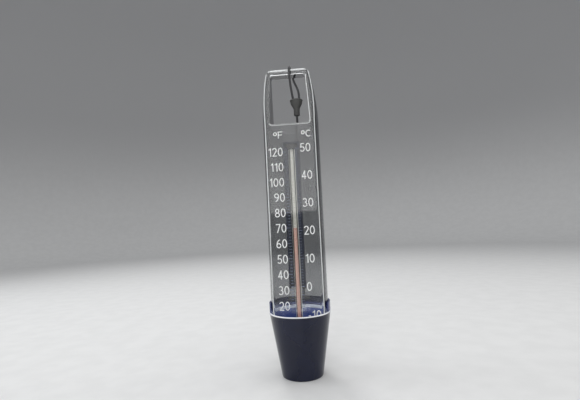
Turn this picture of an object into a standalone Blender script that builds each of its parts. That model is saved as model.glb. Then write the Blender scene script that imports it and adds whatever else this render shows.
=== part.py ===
"""Pool thermometer with a scoop cup, a clear scale face and a hanging cord.

Metres, +Z up. The object stands on its base at z = 0 and its scale faces -Y.
The casing is a D-section: a flat plate in front of a round-backed shell. The
glass tube stands in a dark trough behind the plate, and its bulb hangs in the cup.
"""

import math

import bmesh
import bpy
from mathutils import Matrix, Vector

# Overall body
HEIGHT = 0.250
BODY_RADIUS = 0.0235
FLAT_Y = -0.0135
GAP = 0.0003
BODY_BOTTOM_Z = 0.034

# Tapered head with its window
SHOULDER_Z = 0.208
HEAD_NARROWING = 0.0062
HEAD_DEPTH = 0.014
CORNER_RADIUS = 0.003
WINDOW_BOTTOM_Z = 0.205
WINDOW_TOP_Z = 0.246
WINDOW_HALF_BOTTOM = 0.0166
WINDOW_HALF_TOP = 0.0143
WINDOW_CORNER = 0.0022
TUNNEL_WALL = 0.0016

# Walls
PLATE_THICKNESS = 0.0024
SHELL_WALL = 0.0018
SHELL_FRONT_Y = FLAT_Y + PLATE_THICKNESS + GAP

# Cup
CUP_HEIGHT = 0.0514
CUP_MOUTH_RADIUS = 0.0252
CUP_BASE_RADIUS = 0.0168
CUP_WALL = 0.0016
CUP_FLOOR_Z = 0.0052
CUP_FLOOR_THICKNESS = 0.0016
CUP_CLEARANCE = 0.00035
RECESS_RADIUS = 0.0146
COLLAR_TOP_Z = 0.0595
COLLAR_INNER_RADIUS = 0.0239

# Glass tube: z = ZERO_Z + degrees Celsius * PER_DEGREE
ZERO_Z = 0.0728
PER_DEGREE = 0.00223
READING = 21.0
LOWEST_MARK = -10.0
HIGHEST_MARK = 50.0
STEM_Y = -0.0065
STEM_RADIUS = 0.0023
BORE_RADIUS = 0.0016
SPIRIT_RADIUS = 0.0013
STEM_BOTTOM_Z = 0.0275
STEM_TOP_Z = 0.1875
BORE_TOP_Z = 0.1852
MENISCUS_LENGTH = 0.003
BULB_RADIUS = 0.0034
BULB_BOTTOM_Z = 0.0100
BULB_NECK_Z = 0.0290

# Trough behind the plate
TROUGH_HALF_WIDTH = 0.0066
TROUGH_DEPTH = 0.0092
TROUGH_WALL = 0.0011
TROUGH_BOTTOM_Z = 0.0715
TROUGH_TOP_Z = 0.1900

# Cord
CORD_RADIUS = 0.0010
COIL_CENTRE = (0.0, 0.0460)
COIL_INNER_RADIUS = 0.0079
COIL_OUTER_RADIUS = 0.0141
COIL_BOTTOM_Z = 0.0008
COIL_HEIGHT = 0.0061
STOPPER_X = 0.0062
STOPPER_Y = -0.0090
STOPPER_TOP_Z = 0.2255
STOPPER_BOTTOM_Z = 0.2115
STOPPER_TOP_RADIUS = 0.0053
STOPPER_STEM_RADIUS = 0.0021

ROUND_STEPS = 48
SMALL_ROUND_STEPS = 20


# ---------------------------------------------------------------- scene set-up


def clear_scene():
    for old in list(bpy.data.objects):
        bpy.data.objects.remove(old, do_unlink=True)


def new_collection(name):
    made = bpy.data.collections.new(name)
    bpy.context.scene.collection.children.link(made)
    return made


def material(name, colour, roughness, metallic=0.0, alpha=1.0):
    made = bpy.data.materials.new(name)
    made.use_nodes = True
    shader = made.node_tree.nodes["Principled BSDF"]
    shader.inputs["Base Color"].default_value = (*colour, 1.0)
    shader.inputs["Roughness"].default_value = roughness
    shader.inputs["Metallic"].default_value = metallic
    shader.inputs["Alpha"].default_value = alpha
    made.diffuse_color = (*colour, alpha)
    return made


def make_cutter(item):
    """A cutter is only a tool: it is drawn as wire and never rendered."""
    item.hide_render = True
    item.display_type = "WIRE"
    for holder in list(item.users_collection):
        holder.objects.unlink(item)
    CUTTERS.objects.link(item)
    return item


# ------------------------------------------------------------ modelling helpers


def add_mesh(name, mesh, finish):
    item = bpy.data.objects.new(name, mesh)
    item.data.materials.append(finish)
    PARTS.objects.link(item)
    return item


def shade_round(item, angle=35):
    item.data.shade_smooth()
    item.data.set_sharp_from_angle(angle=math.radians(angle))


def turned(name, profile, finish, steps=ROUND_STEPS, centre=(0.0, 0.0)):
    """A turned body: the (radius, height) profile goes round a vertical axis through centre.

    A profile that ends where it starts is the closed section of a ring.
    """
    mesh = bpy.data.meshes.new(name)
    closed = profile[0] == profile[-1]
    points = [(radius, 0.0, height) for radius, height in (profile[:-1] if closed else profile)]
    edges = [(i, i + 1) for i in range(len(points) - 1)]
    if closed:
        edges.append((len(points) - 1, 0))
    mesh.from_pydata(points, edges, [])
    item = add_mesh(name, mesh, finish)
    item.location = (centre[0], centre[1], 0.0)
    screw = item.modifiers.new("turn", "SCREW")
    screw.steps = steps
    screw.render_steps = steps
    screw.use_merge_vertices = True
    screw.merge_threshold = 0.00001
    screw.use_smooth_shade = True
    return item


def ring_profile(inner, outer, low, high, chamfer):
    """The closed section of a ring, run down its outer side, with its corners broken."""
    return [
        (inner, high - chamfer),
        (inner + chamfer, high),
        (outer - chamfer, high),
        (outer, high - chamfer),
        (outer, low + chamfer),
        (outer - chamfer, low),
        (inner + chamfer, low),
        (inner, low + chamfer),
        (inner, high - chamfer),
    ]


def box(name, low, high, finish, bevel=0.0):
    mesh = bpy.data.meshes.new(name)
    work = bmesh.new()
    bmesh.ops.create_cube(work, size=1.0)
    size = Vector(high) - Vector(low)
    bmesh.ops.scale(work, vec=size, verts=work.verts)
    work.to_mesh(mesh)
    work.free()
    item = add_mesh(name, mesh, finish)
    item.location = (Vector(low) + Vector(high)) / 2
    if bevel:
        soften(item, bevel)
    return item


def soften(item, width, segments=2):
    edge = item.modifiers.new("soft_edges", "BEVEL")
    edge.width = width
    edge.segments = segments
    edge.limit_method = "ANGLE"
    edge.angle_limit = math.radians(40)


def cut(item, cutter, operation="DIFFERENCE"):
    change = item.modifiers.new(operation.lower(), "BOOLEAN")
    change.operation = operation
    change.solver = "EXACT"
    change.object = cutter


def curve_to_mesh(item):
    """The evaluated curve as a welded mesh object in the same place."""
    bpy.context.view_layer.update()
    graph = bpy.context.evaluated_depsgraph_get()
    mesh = bpy.data.meshes.new_from_object(item.evaluated_get(graph))
    work = bmesh.new()
    work.from_mesh(mesh)
    bmesh.ops.remove_doubles(work, verts=work.verts, dist=0.000001)
    work.to_mesh(mesh)
    work.free()
    name, place = item.name, item.matrix_world.copy()
    bpy.data.objects.remove(item, do_unlink=True)
    solid = bpy.data.objects.new(name, mesh)
    solid.matrix_world = place
    PARTS.objects.link(solid)
    return solid


def plate_from_outlines(name, outlines, thickness, finish, place):
    """A flat plate: 2D outlines (the first outer, the others holes) filled and extruded."""
    data = bpy.data.curves.new(name, "CURVE")
    data.dimensions = "2D"
    data.fill_mode = "BOTH"
    data.extrude = thickness / 2
    data.materials.append(finish)
    for outline in outlines:
        spline = data.splines.new("POLY")
        spline.points.add(len(outline) - 1)
        for point, (u, v) in zip(spline.points, outline):
            point.co = (u, v, 0.0, 1.0)
        spline.use_cyclic_u = True
    item = bpy.data.objects.new(name, data)
    item.matrix_world = place
    PARTS.objects.link(item)
    return curve_to_mesh(item)


def rounded_outline(corners, radius, steps=5):
    """A polygon's corners, each replaced by an arc of that radius tangent to both its sides."""
    points = []
    count = len(corners)
    for i in range(count):
        here = Vector(corners[i])
        before = (Vector(corners[i - 1]) - here).normalized()
        after = (Vector(corners[(i + 1) % count]) - here).normalized()
        half = before.angle(after) / 2
        centre = here + (before + after).normalized() * radius / math.sin(half)
        spoke = here + before * radius / math.tan(half) - centre
        turn = (math.pi - 2 * half) / steps
        for k in range(steps + 1):
            points.append(tuple(centre + Matrix.Rotation(turn * k, 2) @ spoke))
    return points


def smooth_route(route, spacing):
    """Points a fixed spacing apart along a Catmull-Rom curve through the route's points."""
    knots = [Vector(p) for p in route]
    knots = [2 * knots[0] - knots[1], *knots, 2 * knots[-1] - knots[-2]]
    fine = []
    for a, b, c, d in zip(knots, knots[1:], knots[2:], knots[3:]):
        for k in range(24):
            t = k / 24
            fine.append(
                0.5 * (2 * b + (c - a) * t + (2 * a - 5 * b + 4 * c - d) * t**2 + (3 * b - a - 3 * c + d) * t**3)
            )
    fine.append(knots[-2])
    total = sum((q - p).length for p, q in zip(fine, fine[1:]))
    count = max(2, round(total / spacing))
    picked, walked, target = [fine[0]], 0.0, total / count
    for p, q in zip(fine, fine[1:]):
        step = (q - p).length
        while walked + step >= target * len(picked) and len(picked) < count:
            share = (target * len(picked) - walked) / step
            picked.append(p.lerp(q, share))
        walked += step
    return [*picked, fine[-1]]


def tube(name, points, radius, finish, closed=False, resolution=2):
    data = bpy.data.curves.new(name, "CURVE")
    data.dimensions = "3D"
    data.bevel_depth = radius
    data.bevel_resolution = resolution
    data.use_fill_caps = not closed
    data.materials.append(finish)
    spline = data.splines.new("POLY")
    spline.points.add(len(points) - 1)
    for point, place in zip(spline.points, points):
        point.co = (*place, 1.0)
    spline.use_cyclic_u = closed
    item = bpy.data.objects.new(name, data)
    PARTS.objects.link(item)
    return item


# ---------------------------------------------------------------- body outline


def cup_inner_radius(z):
    return CUP_BASE_RADIUS - CUP_WALL + (CUP_MOUTH_RADIUS - CUP_BASE_RADIUS) * z / CUP_HEIGHT


def head_share(z):
    """0 up to the shoulder, 1 at the top of the head."""
    return max(0.0, (z - SHOULDER_Z) / (HEIGHT - SHOULDER_Z))


def half_width(z):
    """Half the casing's widest width: it follows the cup low down and narrows in the head."""
    width = min(BODY_RADIUS, cup_inner_radius(z) - CUP_CLEARANCE)
    width -= HEAD_NARROWING * head_share(z) ** 1.8
    into_corner = max(0.0, z - (HEIGHT - CORNER_RADIUS))
    return width - (CORNER_RADIUS - math.sqrt(max(0.0, CORNER_RADIUS**2 - into_corner**2)))


def section_axes(z):
    """Semi-axes and centre of the ellipse whose front is cut off at the flat plate."""
    width = half_width(z)
    share = head_share(z)
    lip = (BODY_RADIUS - math.sqrt(BODY_RADIUS**2 - FLAT_Y**2)) * (1 - 0.75 * share)
    flat = math.sqrt(width**2 - FLAT_Y**2) if share == 0 else width - lip
    full_depth = width - FLAT_Y
    depth = full_depth + (HEAD_DEPTH - full_depth) * share**2 * (3 - 2 * share)
    front_sine = math.sqrt(1 - (flat / width) ** 2)
    deep = depth / (1 + front_sine)
    return width, deep, FLAT_Y + deep * front_sine


def width_at(z, y):
    wide, deep, centre = section_axes(z)
    return wide * math.sqrt(max(0.0, 1 - ((y - centre) / deep) ** 2))


def back_arc(z, front_y, inset=0.0, steps=28):
    """Points from the right front edge round the back to the left, at one height."""
    wide, deep, centre = section_axes(z)
    wide, deep = wide - inset, deep - inset
    start = math.asin(max(-1.0, (front_y - centre) / deep))
    points = []
    for k in range(steps + 1):
        angle = start + (math.pi - 2 * start) * k / steps
        points.append((wide * math.cos(angle), centre + deep * math.sin(angle), z))
    return points


def loft(name, rows, finish, closed_rows, cap_low, cap_high):
    """A surface through rows of points that all have the same count."""
    mesh = bpy.data.meshes.new(name)
    work = bmesh.new()
    made = [[work.verts.new(p) for p in row] for row in rows]
    count = len(rows[0])
    last = count if closed_rows else count - 1
    for low, high in zip(made, made[1:]):
        for k in range(last):
            work.faces.new((low[k], low[(k + 1) % count], high[(k + 1) % count], high[k]))
    if cap_low:
        work.faces.new(list(reversed(made[0])))
    if cap_high:
        work.faces.new(made[-1])
    work.to_mesh(mesh)
    work.free()
    return add_mesh(name, mesh, finish)


def body_heights(start):
    """Heights of the casing's sections, close together where its outline curves."""
    straight = [start, 0.0505, 0.0530, 0.1000, 0.1600]
    head = [SHOULDER_Z + (HEIGHT - CORNER_RADIUS - SHOULDER_Z) * k / 8 for k in range(9)]
    corner = [HEIGHT - CORNER_RADIUS * (1 - math.sin(math.radians(a))) for a in (25, 50, 72, 90)]
    return straight + head + corner


def upright(y):
    """Places a plate drawn in X and Z so that it stands facing -Y at that y."""
    return Matrix.Translation((0.0, y, 0.0)) @ Matrix.Rotation(math.radians(90), 4, "X")


def window_outline(grow):
    """The head's window: a trapezoid with round corners, grown all round by grow."""
    low, high = WINDOW_BOTTOM_Z - grow, WINDOW_TOP_Z + grow
    slant = (WINDOW_HALF_BOTTOM - WINDOW_HALF_TOP) / (WINDOW_TOP_Z - WINDOW_BOTTOM_Z)
    bottom = WINDOW_HALF_BOTTOM + grow * (1 + slant)
    top = WINDOW_HALF_TOP + grow * (1 - slant)
    corners = [(-bottom, low), (bottom, low), (top, high), (-top, high)]
    return rounded_outline(corners, WINDOW_CORNER + grow)


def window_cutter(name):
    block = plate_from_outlines(name, [window_outline(0.0)], 0.090, CLEAR, upright(0.0))
    return make_cutter(block)


# ------------------------------------------------------------------- sub-parts


def front_plate():
    """The clear flat face, with sides that carry on the shell's curve."""
    back_y = FLAT_Y + PLATE_THICKNESS
    rows = []
    for z in body_heights(BODY_BOTTOM_Z):
        front, back = width_at(z, FLAT_Y), width_at(z, back_y)
        rows.append([(-front, FLAT_Y, z), (front, FLAT_Y, z), (back, back_y, z), (-back, back_y, z)])
    plate = loft("front_plate", rows, CLEAR, True, True, True)
    cut(plate, window_cutter("cut_window_plate"))
    return plate


def rear_shell():
    """The round-backed shell, open in front, with a tunnel behind the window."""
    rows = [back_arc(z, SHELL_FRONT_Y) for z in body_heights(BODY_BOTTOM_Z)]
    shell = loft("rear_shell", rows, SMOKED, False, False, True)
    wall = shell.modifiers.new("wall", "SOLIDIFY")
    wall.thickness = SHELL_WALL
    wall.offset = -1.0
    wall.use_even_offset = True
    inner_rows = [back_arc(z, SHELL_FRONT_Y + GAP, SHELL_WALL / 2) for z in body_heights(0.170)]
    inner_rows = [row for row in inner_rows if row[0][2] >= 0.170 and row[0][2] < HEIGHT - 0.0008]
    core = loft("cut_tunnel_core", inner_rows, SMOKED, True, True, True)
    tunnel = plate_from_outlines(
        "cut_tunnel", [window_outline(TUNNEL_WALL)], 0.090, SMOKED, upright(0.0)
    )
    cut(tunnel, make_cutter(core), "INTERSECT")
    cut(shell, make_cutter(tunnel), "UNION")
    cut(shell, window_cutter("cut_window_shell"))
    shade_round(shell, 30)
    return shell


def end_cap():
    """The D-shaped plug that closes the casing's lower end round the tube's grommet."""
    inset = SHELL_WALL + GAP
    low, high = BODY_BOTTOM_Z + 0.0003, BODY_BOTTOM_Z + 0.0033
    rows = [back_arc(z, SHELL_FRONT_Y, inset) for z in (low, high)]
    cap = loft("end_cap", rows, SMOKED, True, True, True)
    hole = turned("cut_end_cap", [(0.0, 0.050), (0.0039, 0.050), (0.0039, 0.020), (0.0, 0.020)],
                  SMOKED, SMALL_ROUND_STEPS, (0.0, STEM_Y))
    cut(cap, make_cutter(hole))
    return cap


def scale_channel():
    """The dark trough that the tube stands in, open to the front and at its foot."""
    front = SHELL_FRONT_Y
    trough = box(
        "scale_channel",
        (-TROUGH_HALF_WIDTH, front, TROUGH_BOTTOM_Z),
        (TROUGH_HALF_WIDTH, front + TROUGH_DEPTH, TROUGH_TOP_Z),
        NAVY,
    )
    hollow = box(
        "cut_channel",
        (TROUGH_WALL - TROUGH_HALF_WIDTH, front - 0.01, TROUGH_BOTTOM_Z - 0.01),
        (TROUGH_HALF_WIDTH - TROUGH_WALL, front + TROUGH_DEPTH - TROUGH_WALL, TROUGH_TOP_Z - TROUGH_WALL),
        NAVY,
    )
    cut(trough, make_cutter(hollow))
    return trough


def stem_saddle():
    """The rib below the trough whose notch the tube lies in."""
    saddle = box("stem_saddle", (-0.0085, STEM_Y - 0.0005, 0.0618), (0.0085, 0.0005, 0.0633), DARK, 0.0002)
    notch = turned("cut_saddle", [(0.0, 0.07), (0.0034, 0.07), (0.0034, 0.05), (0.0, 0.05)],
                   DARK, SMALL_ROUND_STEPS, (0.0, STEM_Y))
    cut(saddle, make_cutter(notch))
    return saddle


def upper_bush():
    """The rubber cap over the tube's closed end, in the head of the trough."""
    low, high, mouth = 0.1857, 0.1886, STEM_RADIUS + 0.0002
    seat = STEM_TOP_Z + GAP
    profile = [(0.0, high), (0.0034, high), (0.0038, high - 0.0004), (0.0038, low + 0.0004)]
    profile += [(0.0034, low), (mouth, low), (mouth, seat), (0.0, seat)]
    return turned("upper_bush", profile, RUBBER, SMALL_ROUND_STEPS, (0.0, STEM_Y))


def lower_grommet():
    """The rubber grommet in the end cap: a waist between two flanges, with the tube through it."""
    low, high = BODY_BOTTOM_Z - 0.0012, BODY_BOTTOM_Z + 0.0048
    waist_low, waist_high = BODY_BOTTOM_Z, BODY_BOTTOM_Z + 0.0036
    inner, waist, flange, chamfer = STEM_RADIUS + 0.0002, 0.0036, 0.0052, 0.0004
    profile = [(inner, high), (flange - chamfer, high), (flange, high - chamfer), (flange, waist_high)]
    profile += [(waist, waist_high), (waist, waist_low), (flange, waist_low)]
    profile += [(flange, low + chamfer), (flange - chamfer, low), (inner, low), (inner, high)]
    item = turned("lower_grommet", profile, RUBBER, SMALL_ROUND_STEPS, (0.0, STEM_Y))
    front = box("cut_grommet", (-0.01, -0.02, 0.02), (0.01, SHELL_FRONT_Y, 0.05), RUBBER)
    cut(item, make_cutter(front))
    return item


def dome(radius, top_z, steps=4):
    """A quarter-round end from the axis out to radius, run outwards and down."""
    angles = [math.pi / 2 * k / steps for k in range(steps + 1)]
    return [(radius * math.sin(a), top_z - radius + radius * math.cos(a)) for a in angles]


def glass_stem():
    """The capillary tube, closed at the top and open down to the bulb."""
    profile = dome(STEM_RADIUS, STEM_TOP_Z)
    profile += [(STEM_RADIUS, STEM_BOTTOM_Z), (BORE_RADIUS, STEM_BOTTOM_Z)]
    profile += [(BORE_RADIUS, BORE_TOP_Z), (0.0, BORE_TOP_Z)]
    return turned("glass_stem", profile, GLASS, SMALL_ROUND_STEPS, (0.0, STEM_Y))


def bulb_outline(radius, low, high, steps=5):
    """A long bulb: a round bottom, straight sides and shoulders up to its open neck."""
    neck = STEM_RADIUS + GAP + (radius - BULB_RADIUS)
    shoulder = [(neck + (radius - neck) * math.sin(math.pi / 2 * k / steps),
                 high - 0.0035 * (1 - math.cos(math.pi / 2 * k / steps))) for k in range(1, steps + 1)]
    bottom = [(radius * math.cos(math.pi / 2 * k / steps),
               low + radius - radius * math.sin(math.pi / 2 * k / steps)) for k in range(steps + 1)]
    return neck, shoulder, bottom


def glass_bulb():
    """The thin glass bulb that the tube's foot stands in."""
    wall = 0.0006
    neck, shoulder, bottom = bulb_outline(BULB_RADIUS + wall, BULB_BOTTOM_Z, BULB_NECK_Z)
    inner_neck, inner_shoulder, inner_bottom = bulb_outline(
        BULB_RADIUS, BULB_BOTTOM_Z + wall, BULB_NECK_Z - wall
    )
    inner = [(0.0, inner_bottom[-1][1]), *reversed(inner_bottom[:-1]), *reversed(inner_shoulder)]
    profile = [*inner, (inner_neck, BULB_NECK_Z), (neck + 0.0002, BULB_NECK_Z)]
    profile += [*shoulder, *bottom[:-1], (0.0, BULB_BOTTOM_Z)]
    return turned("glass_bulb", profile, GLASS, SMALL_ROUND_STEPS, (0.0, STEM_Y))


def bulb_spirit():
    """The red spirit that fills the bulb below the tube."""
    radius, low, high = BULB_RADIUS - GAP, BULB_BOTTOM_Z + 0.0009, STEM_BOTTOM_Z - 0.0028
    bottom = [(radius * math.cos(math.pi / 10 * k), low + radius * (1 - math.sin(math.pi / 10 * k)))
              for k in range(5)]
    profile = [(0.0, high), (radius - 0.0006, high), (radius, high - 0.0006), *bottom, (0.0, low)]
    return turned("bulb_spirit", profile, SPIRIT, SMALL_ROUND_STEPS, (0.0, STEM_Y))


def reading_z():
    return ZERO_Z + READING * PER_DEGREE


def spirit_column():
    """The thread of spirit from the bulb up to just below the meniscus."""
    low, high = STEM_BOTTOM_Z - 0.0024, reading_z() - MENISCUS_LENGTH - GAP
    profile = [(0.0, high), (SPIRIT_RADIUS, high), (SPIRIT_RADIUS, low), (0.0, low)]
    return turned("spirit_column", profile, SPIRIT, 16, (0.0, STEM_Y))


def spirit_meniscus():
    """The top of the thread, which is what rises and falls. Its origin is on the tube's axis."""
    top = reading_z()
    profile = [(0.0, top - 0.0003), (SPIRIT_RADIUS * 0.6, top - 0.0002), (SPIRIT_RADIUS, top)]
    profile += [(SPIRIT_RADIUS, top - MENISCUS_LENGTH), (0.0, top - MENISCUS_LENGTH)]
    return turned("spirit_meniscus", profile, SPIRIT, 16, (0.0, STEM_Y))


def enamel_strip():
    """The white half-round strip behind the tube that makes the thread easy to read."""
    inner, outer, half_turn, steps = STEM_RADIUS + GAP, STEM_RADIUS + GAP + 0.0005, math.radians(80), 10
    angles = [math.pi / 2 - half_turn + 2 * half_turn * k / steps for k in range(steps + 1)]
    ring = [(outer * math.cos(a), STEM_Y + outer * math.sin(a)) for a in angles]
    ring += [(inner * math.cos(a), STEM_Y + inner * math.sin(a)) for a in reversed(angles)]
    rows = [[(x, y, z) for x, y in ring] for z in (0.0400, 0.1850)]
    return loft("enamel_strip", rows, ENAMEL, True, True, True)


def cup_shell():
    """The tapered scoop cup, with a recess under its floor for the ballast."""
    floor_top = CUP_FLOOR_Z + CUP_FLOOR_THICKNESS
    rim_inner, rim_outer = CUP_MOUTH_RADIUS - CUP_WALL, CUP_MOUTH_RADIUS
    profile = [(0.0, floor_top), (cup_inner_radius(floor_top) - 0.0015, floor_top)]
    profile += [(cup_inner_radius(floor_top + 0.0015), floor_top + 0.0015)]
    profile += [(rim_inner - 0.0001, CUP_HEIGHT - 0.0005), (rim_inner + 0.0004, CUP_HEIGHT)]
    profile += [(rim_outer - 0.0004, CUP_HEIGHT), (rim_outer, CUP_HEIGHT - 0.0005)]
    profile += [(CUP_BASE_RADIUS + 0.00015, 0.0008), (CUP_BASE_RADIUS - 0.0006, 0.0)]
    profile += [(RECESS_RADIUS, 0.0), (RECESS_RADIUS, CUP_FLOOR_Z), (0.0, CUP_FLOOR_Z)]
    return turned("cup_shell", profile, CUP_BLUE)


def cup_collar():
    """The blue C-shaped collar on the cup's rim that hugs the round of the casing."""
    low, high = CUP_HEIGHT + GAP, COLLAR_TOP_Z
    profile = ring_profile(COLLAR_INNER_RADIUS, CUP_MOUTH_RADIUS, low, high, 0.0003)
    collar = turned("cup_collar", profile, CUP_BLUE)
    opening = box("cut_collar", (-0.03, -0.04, 0.04), (0.03, SHELL_FRONT_Y + 0.001, 0.07), CUP_BLUE)
    cut(collar, make_cutter(opening))
    return collar


def ballast_disc():
    """The steel disc under the cup's floor that keeps the thermometer upright in water."""
    radius, low, high = RECESS_RADIUS - GAP, 0.0019, CUP_FLOOR_Z - GAP
    profile = [(0.0, high), (radius - 0.0004, high), (radius, high - 0.0004)]
    profile += [(radius, low + 0.0004), (radius - 0.0004, low), (0.0, low)]
    return turned("ballast_disc", profile, STEEL)


def base_cap():
    """The flush disc that closes the ballast in; the thermometer stands on it."""
    radius, high = RECESS_RADIUS - GAP, 0.0016
    profile = [(0.0, high), (radius, high), (radius, 0.0004), (radius - 0.0004, 0.0), (0.0, 0.0)]
    return turned("base_cap", profile, DARK)


LOOP_ROUTE = [
    (0.0037, -0.0098, 0.2258),
    (0.0032, -0.0113, 0.2277),
    (0.0019, -0.0134, 0.2312),
    (0.0009, -0.0146, 0.2360),
    (0.0003, -0.0150, 0.2410),
    (0.0000, -0.0151, 0.2460),
    (0.0000, -0.0151, 0.2490),
    (0.0001, -0.0147, 0.2507),
    (0.0003, -0.0130, 0.2516),
    (0.0006, -0.0095, 0.2517),
    (0.0012, -0.0050, 0.2517),
    (0.0017, -0.0012, 0.2516),
    (0.0020, 0.0012, 0.2512),
    (0.0024, 0.0025, 0.2494),
    (0.0031, 0.0028, 0.2462),
    (0.0045, 0.0016, 0.2430),
    (0.0062, -0.0012, 0.2395),
    (0.0076, -0.0050, 0.2350),
    (0.0085, -0.0078, 0.2300),
    (0.0087, -0.0086, 0.2258),
]

LEAD_ROUTE = [
    (0.0062, -0.0090, 0.2112),
    (0.0062, -0.0088, 0.2094),
    (0.0062, -0.0076, 0.2075),
    (0.0061, -0.0054, 0.2066),
    (0.0058, -0.0015, 0.2064),
    (0.0052, 0.0040, 0.2064),
    (0.0045, 0.0100, 0.2064),
    (0.0038, 0.0160, 0.2065),
    (0.0033, 0.0205, 0.2071),
    (0.0030, 0.0232, 0.2070),
    (0.0028, 0.0251, 0.2054),
    (0.0027, 0.0258, 0.2025),
    (0.0026, 0.0257, 0.1940),
    (0.0023, 0.0256, 0.1700),
    (0.0020, 0.0257, 0.1400),
    (0.0019, 0.0260, 0.1100),
    (0.0020, 0.0265, 0.0800),
    (0.0022, 0.0270, 0.0600),
    (0.0024, 0.0271, 0.0400),
    (0.0026, 0.0271, 0.0220),
    (0.0028, 0.0272, 0.0110),
    (0.0034, 0.0276, 0.0055),
    (0.0050, 0.0285, 0.0020),
    (0.0080, 0.0301, 0.0011),
    (0.0108, 0.0326, 0.0011),
    (0.0128, 0.0360, 0.0013),
    (0.0141, 0.0398, 0.0018),
]


def cord_loop():
    """The loop of cord round the bar above the window, both ends in the stopper."""
    return tube("cord_loop", smooth_route(LOOP_ROUTE, 0.0024), CORD_RADIUS, CORD)


def cord_stopper():
    """The soft funnel-shaped stopper that gathers the loop over the lead."""
    top, stem = STOPPER_TOP_RADIUS, STOPPER_STEM_RADIUS
    high, low = STOPPER_TOP_Z - GAP, STOPPER_BOTTOM_Z
    profile = [(0.0, high), (top - 0.0006, high), (top, high - 0.0006), (top - 0.0004, high - 0.0024)]
    profile += [(stem + 0.0009, high - 0.0066), (stem, high - 0.0086)]
    profile += [(stem, low + 0.0004), (stem - 0.0004, low), (0.0, low)]
    return turned("cord_stopper", profile, RUBBER, 24, (STOPPER_X, STOPPER_Y))


def cord_lead():
    """The cord from the stopper over the window's sill, down the back and along the ground."""
    return tube("cord_lead", smooth_route(LEAD_ROUTE, 0.0045), CORD_RADIUS, CORD)


def cord_coil():
    """The outer shape of the wound part of the cord."""
    low, high = COIL_BOTTOM_Z, COIL_BOTTOM_Z + COIL_HEIGHT
    profile = ring_profile(COIL_INNER_RADIUS, COIL_OUTER_RADIUS, low, high, 0.0009)
    return turned("cord_coil", profile, CORD, 36, COIL_CENTRE)


def cord_tie():
    """The flat band round the coil's turns, on the side away from the thermometer."""
    wide, tall = COIL_OUTER_RADIUS - COIL_INNER_RADIUS, COIL_HEIGHT
    clear, thick = 0.00025, 0.0005

    def frame(grow):
        half_w, half_t = wide / 2 + grow, tall / 2 + grow
        corners = [(-half_w, -half_t), (half_w, -half_t), (half_w, half_t), (-half_w, half_t)]
        return rounded_outline(corners, 0.0006 + grow, 3)

    middle = (COIL_OUTER_RADIUS + COIL_INNER_RADIUS) / 2
    place = Matrix.Translation(
        (COIL_CENTRE[0], COIL_CENTRE[1] + middle, COIL_BOTTOM_Z + COIL_HEIGHT / 2)
    )
    place = place @ Matrix.Rotation(math.radians(90), 4, "Z") @ Matrix.Rotation(math.radians(90), 4, "X")
    return plate_from_outlines("cord_tie", [frame(clear + thick), frame(clear)], 0.0030, RUBBER, place)


def cord_end_knot():
    """The overhand knot that finishes the cord's free end, beside the coil."""
    radius, away, turn = 0.0024, COIL_OUTER_RADIUS + 0.0028, math.radians(200)
    centre = (COIL_CENTRE[0] + away * math.cos(turn), COIL_CENTRE[1] + away * math.sin(turn))
    angles = [math.pi * k / 8 for k in range(9)]
    profile = [(radius * math.sin(a), 0.0025 + radius * math.cos(a)) for a in angles]
    profile[0] = (0.0, profile[0][1])
    profile[-1] = (0.0, profile[-1][1])
    return turned("cord_end_knot", profile, CORD, 16, centre)


# ------------------------------------------------------------------------ build

clear_scene()
PARTS = new_collection("pool_thermometer")
CUTTERS = new_collection("cutters")

CLEAR = material("clear_plastic", (0.60, 0.64, 0.66), 0.06, alpha=0.35)
SMOKED = material("smoked_plastic", (0.045, 0.050, 0.058), 0.12)
NAVY = material("navy_trough", (0.010, 0.014, 0.030), 0.35)
DARK = material("dark_plastic", (0.018, 0.018, 0.022), 0.40)
CUP_BLUE = material("cup_blue", (0.020, 0.030, 0.085), 0.07)
GLASS = material("tube_glass", (0.80, 0.82, 0.80), 0.03, alpha=0.35)
ENAMEL = material("white_enamel", (0.72, 0.70, 0.64), 0.30)
SPIRIT = material("red_spirit", (0.55, 0.13, 0.09), 0.10)
RUBBER = material("black_rubber", (0.022, 0.022, 0.024), 0.70)
STEEL = material("ballast_steel", (0.45, 0.45, 0.46), 0.40, metallic=1.0)
CORD = material("dark_cord", (0.030, 0.030, 0.034), 0.80)

PIECES = [
    front_plate,
    rear_shell,
    end_cap,
    scale_channel,
    stem_saddle,
    upper_bush,
    lower_grommet,
    glass_stem,
    glass_bulb,
    bulb_spirit,
    spirit_column,
    spirit_meniscus,
    enamel_strip,
    cup_shell,
    cup_collar,
    ballast_disc,
    base_cap,
    cord_loop,
    cord_stopper,
    cord_lead,
    cord_coil,
    cord_tie,
    cord_end_knot,
]

for piece in PIECES:
    piece()
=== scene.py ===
import math

import bmesh
import bpy
import numpy as np
from mathutils import Matrix, Vector


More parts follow.
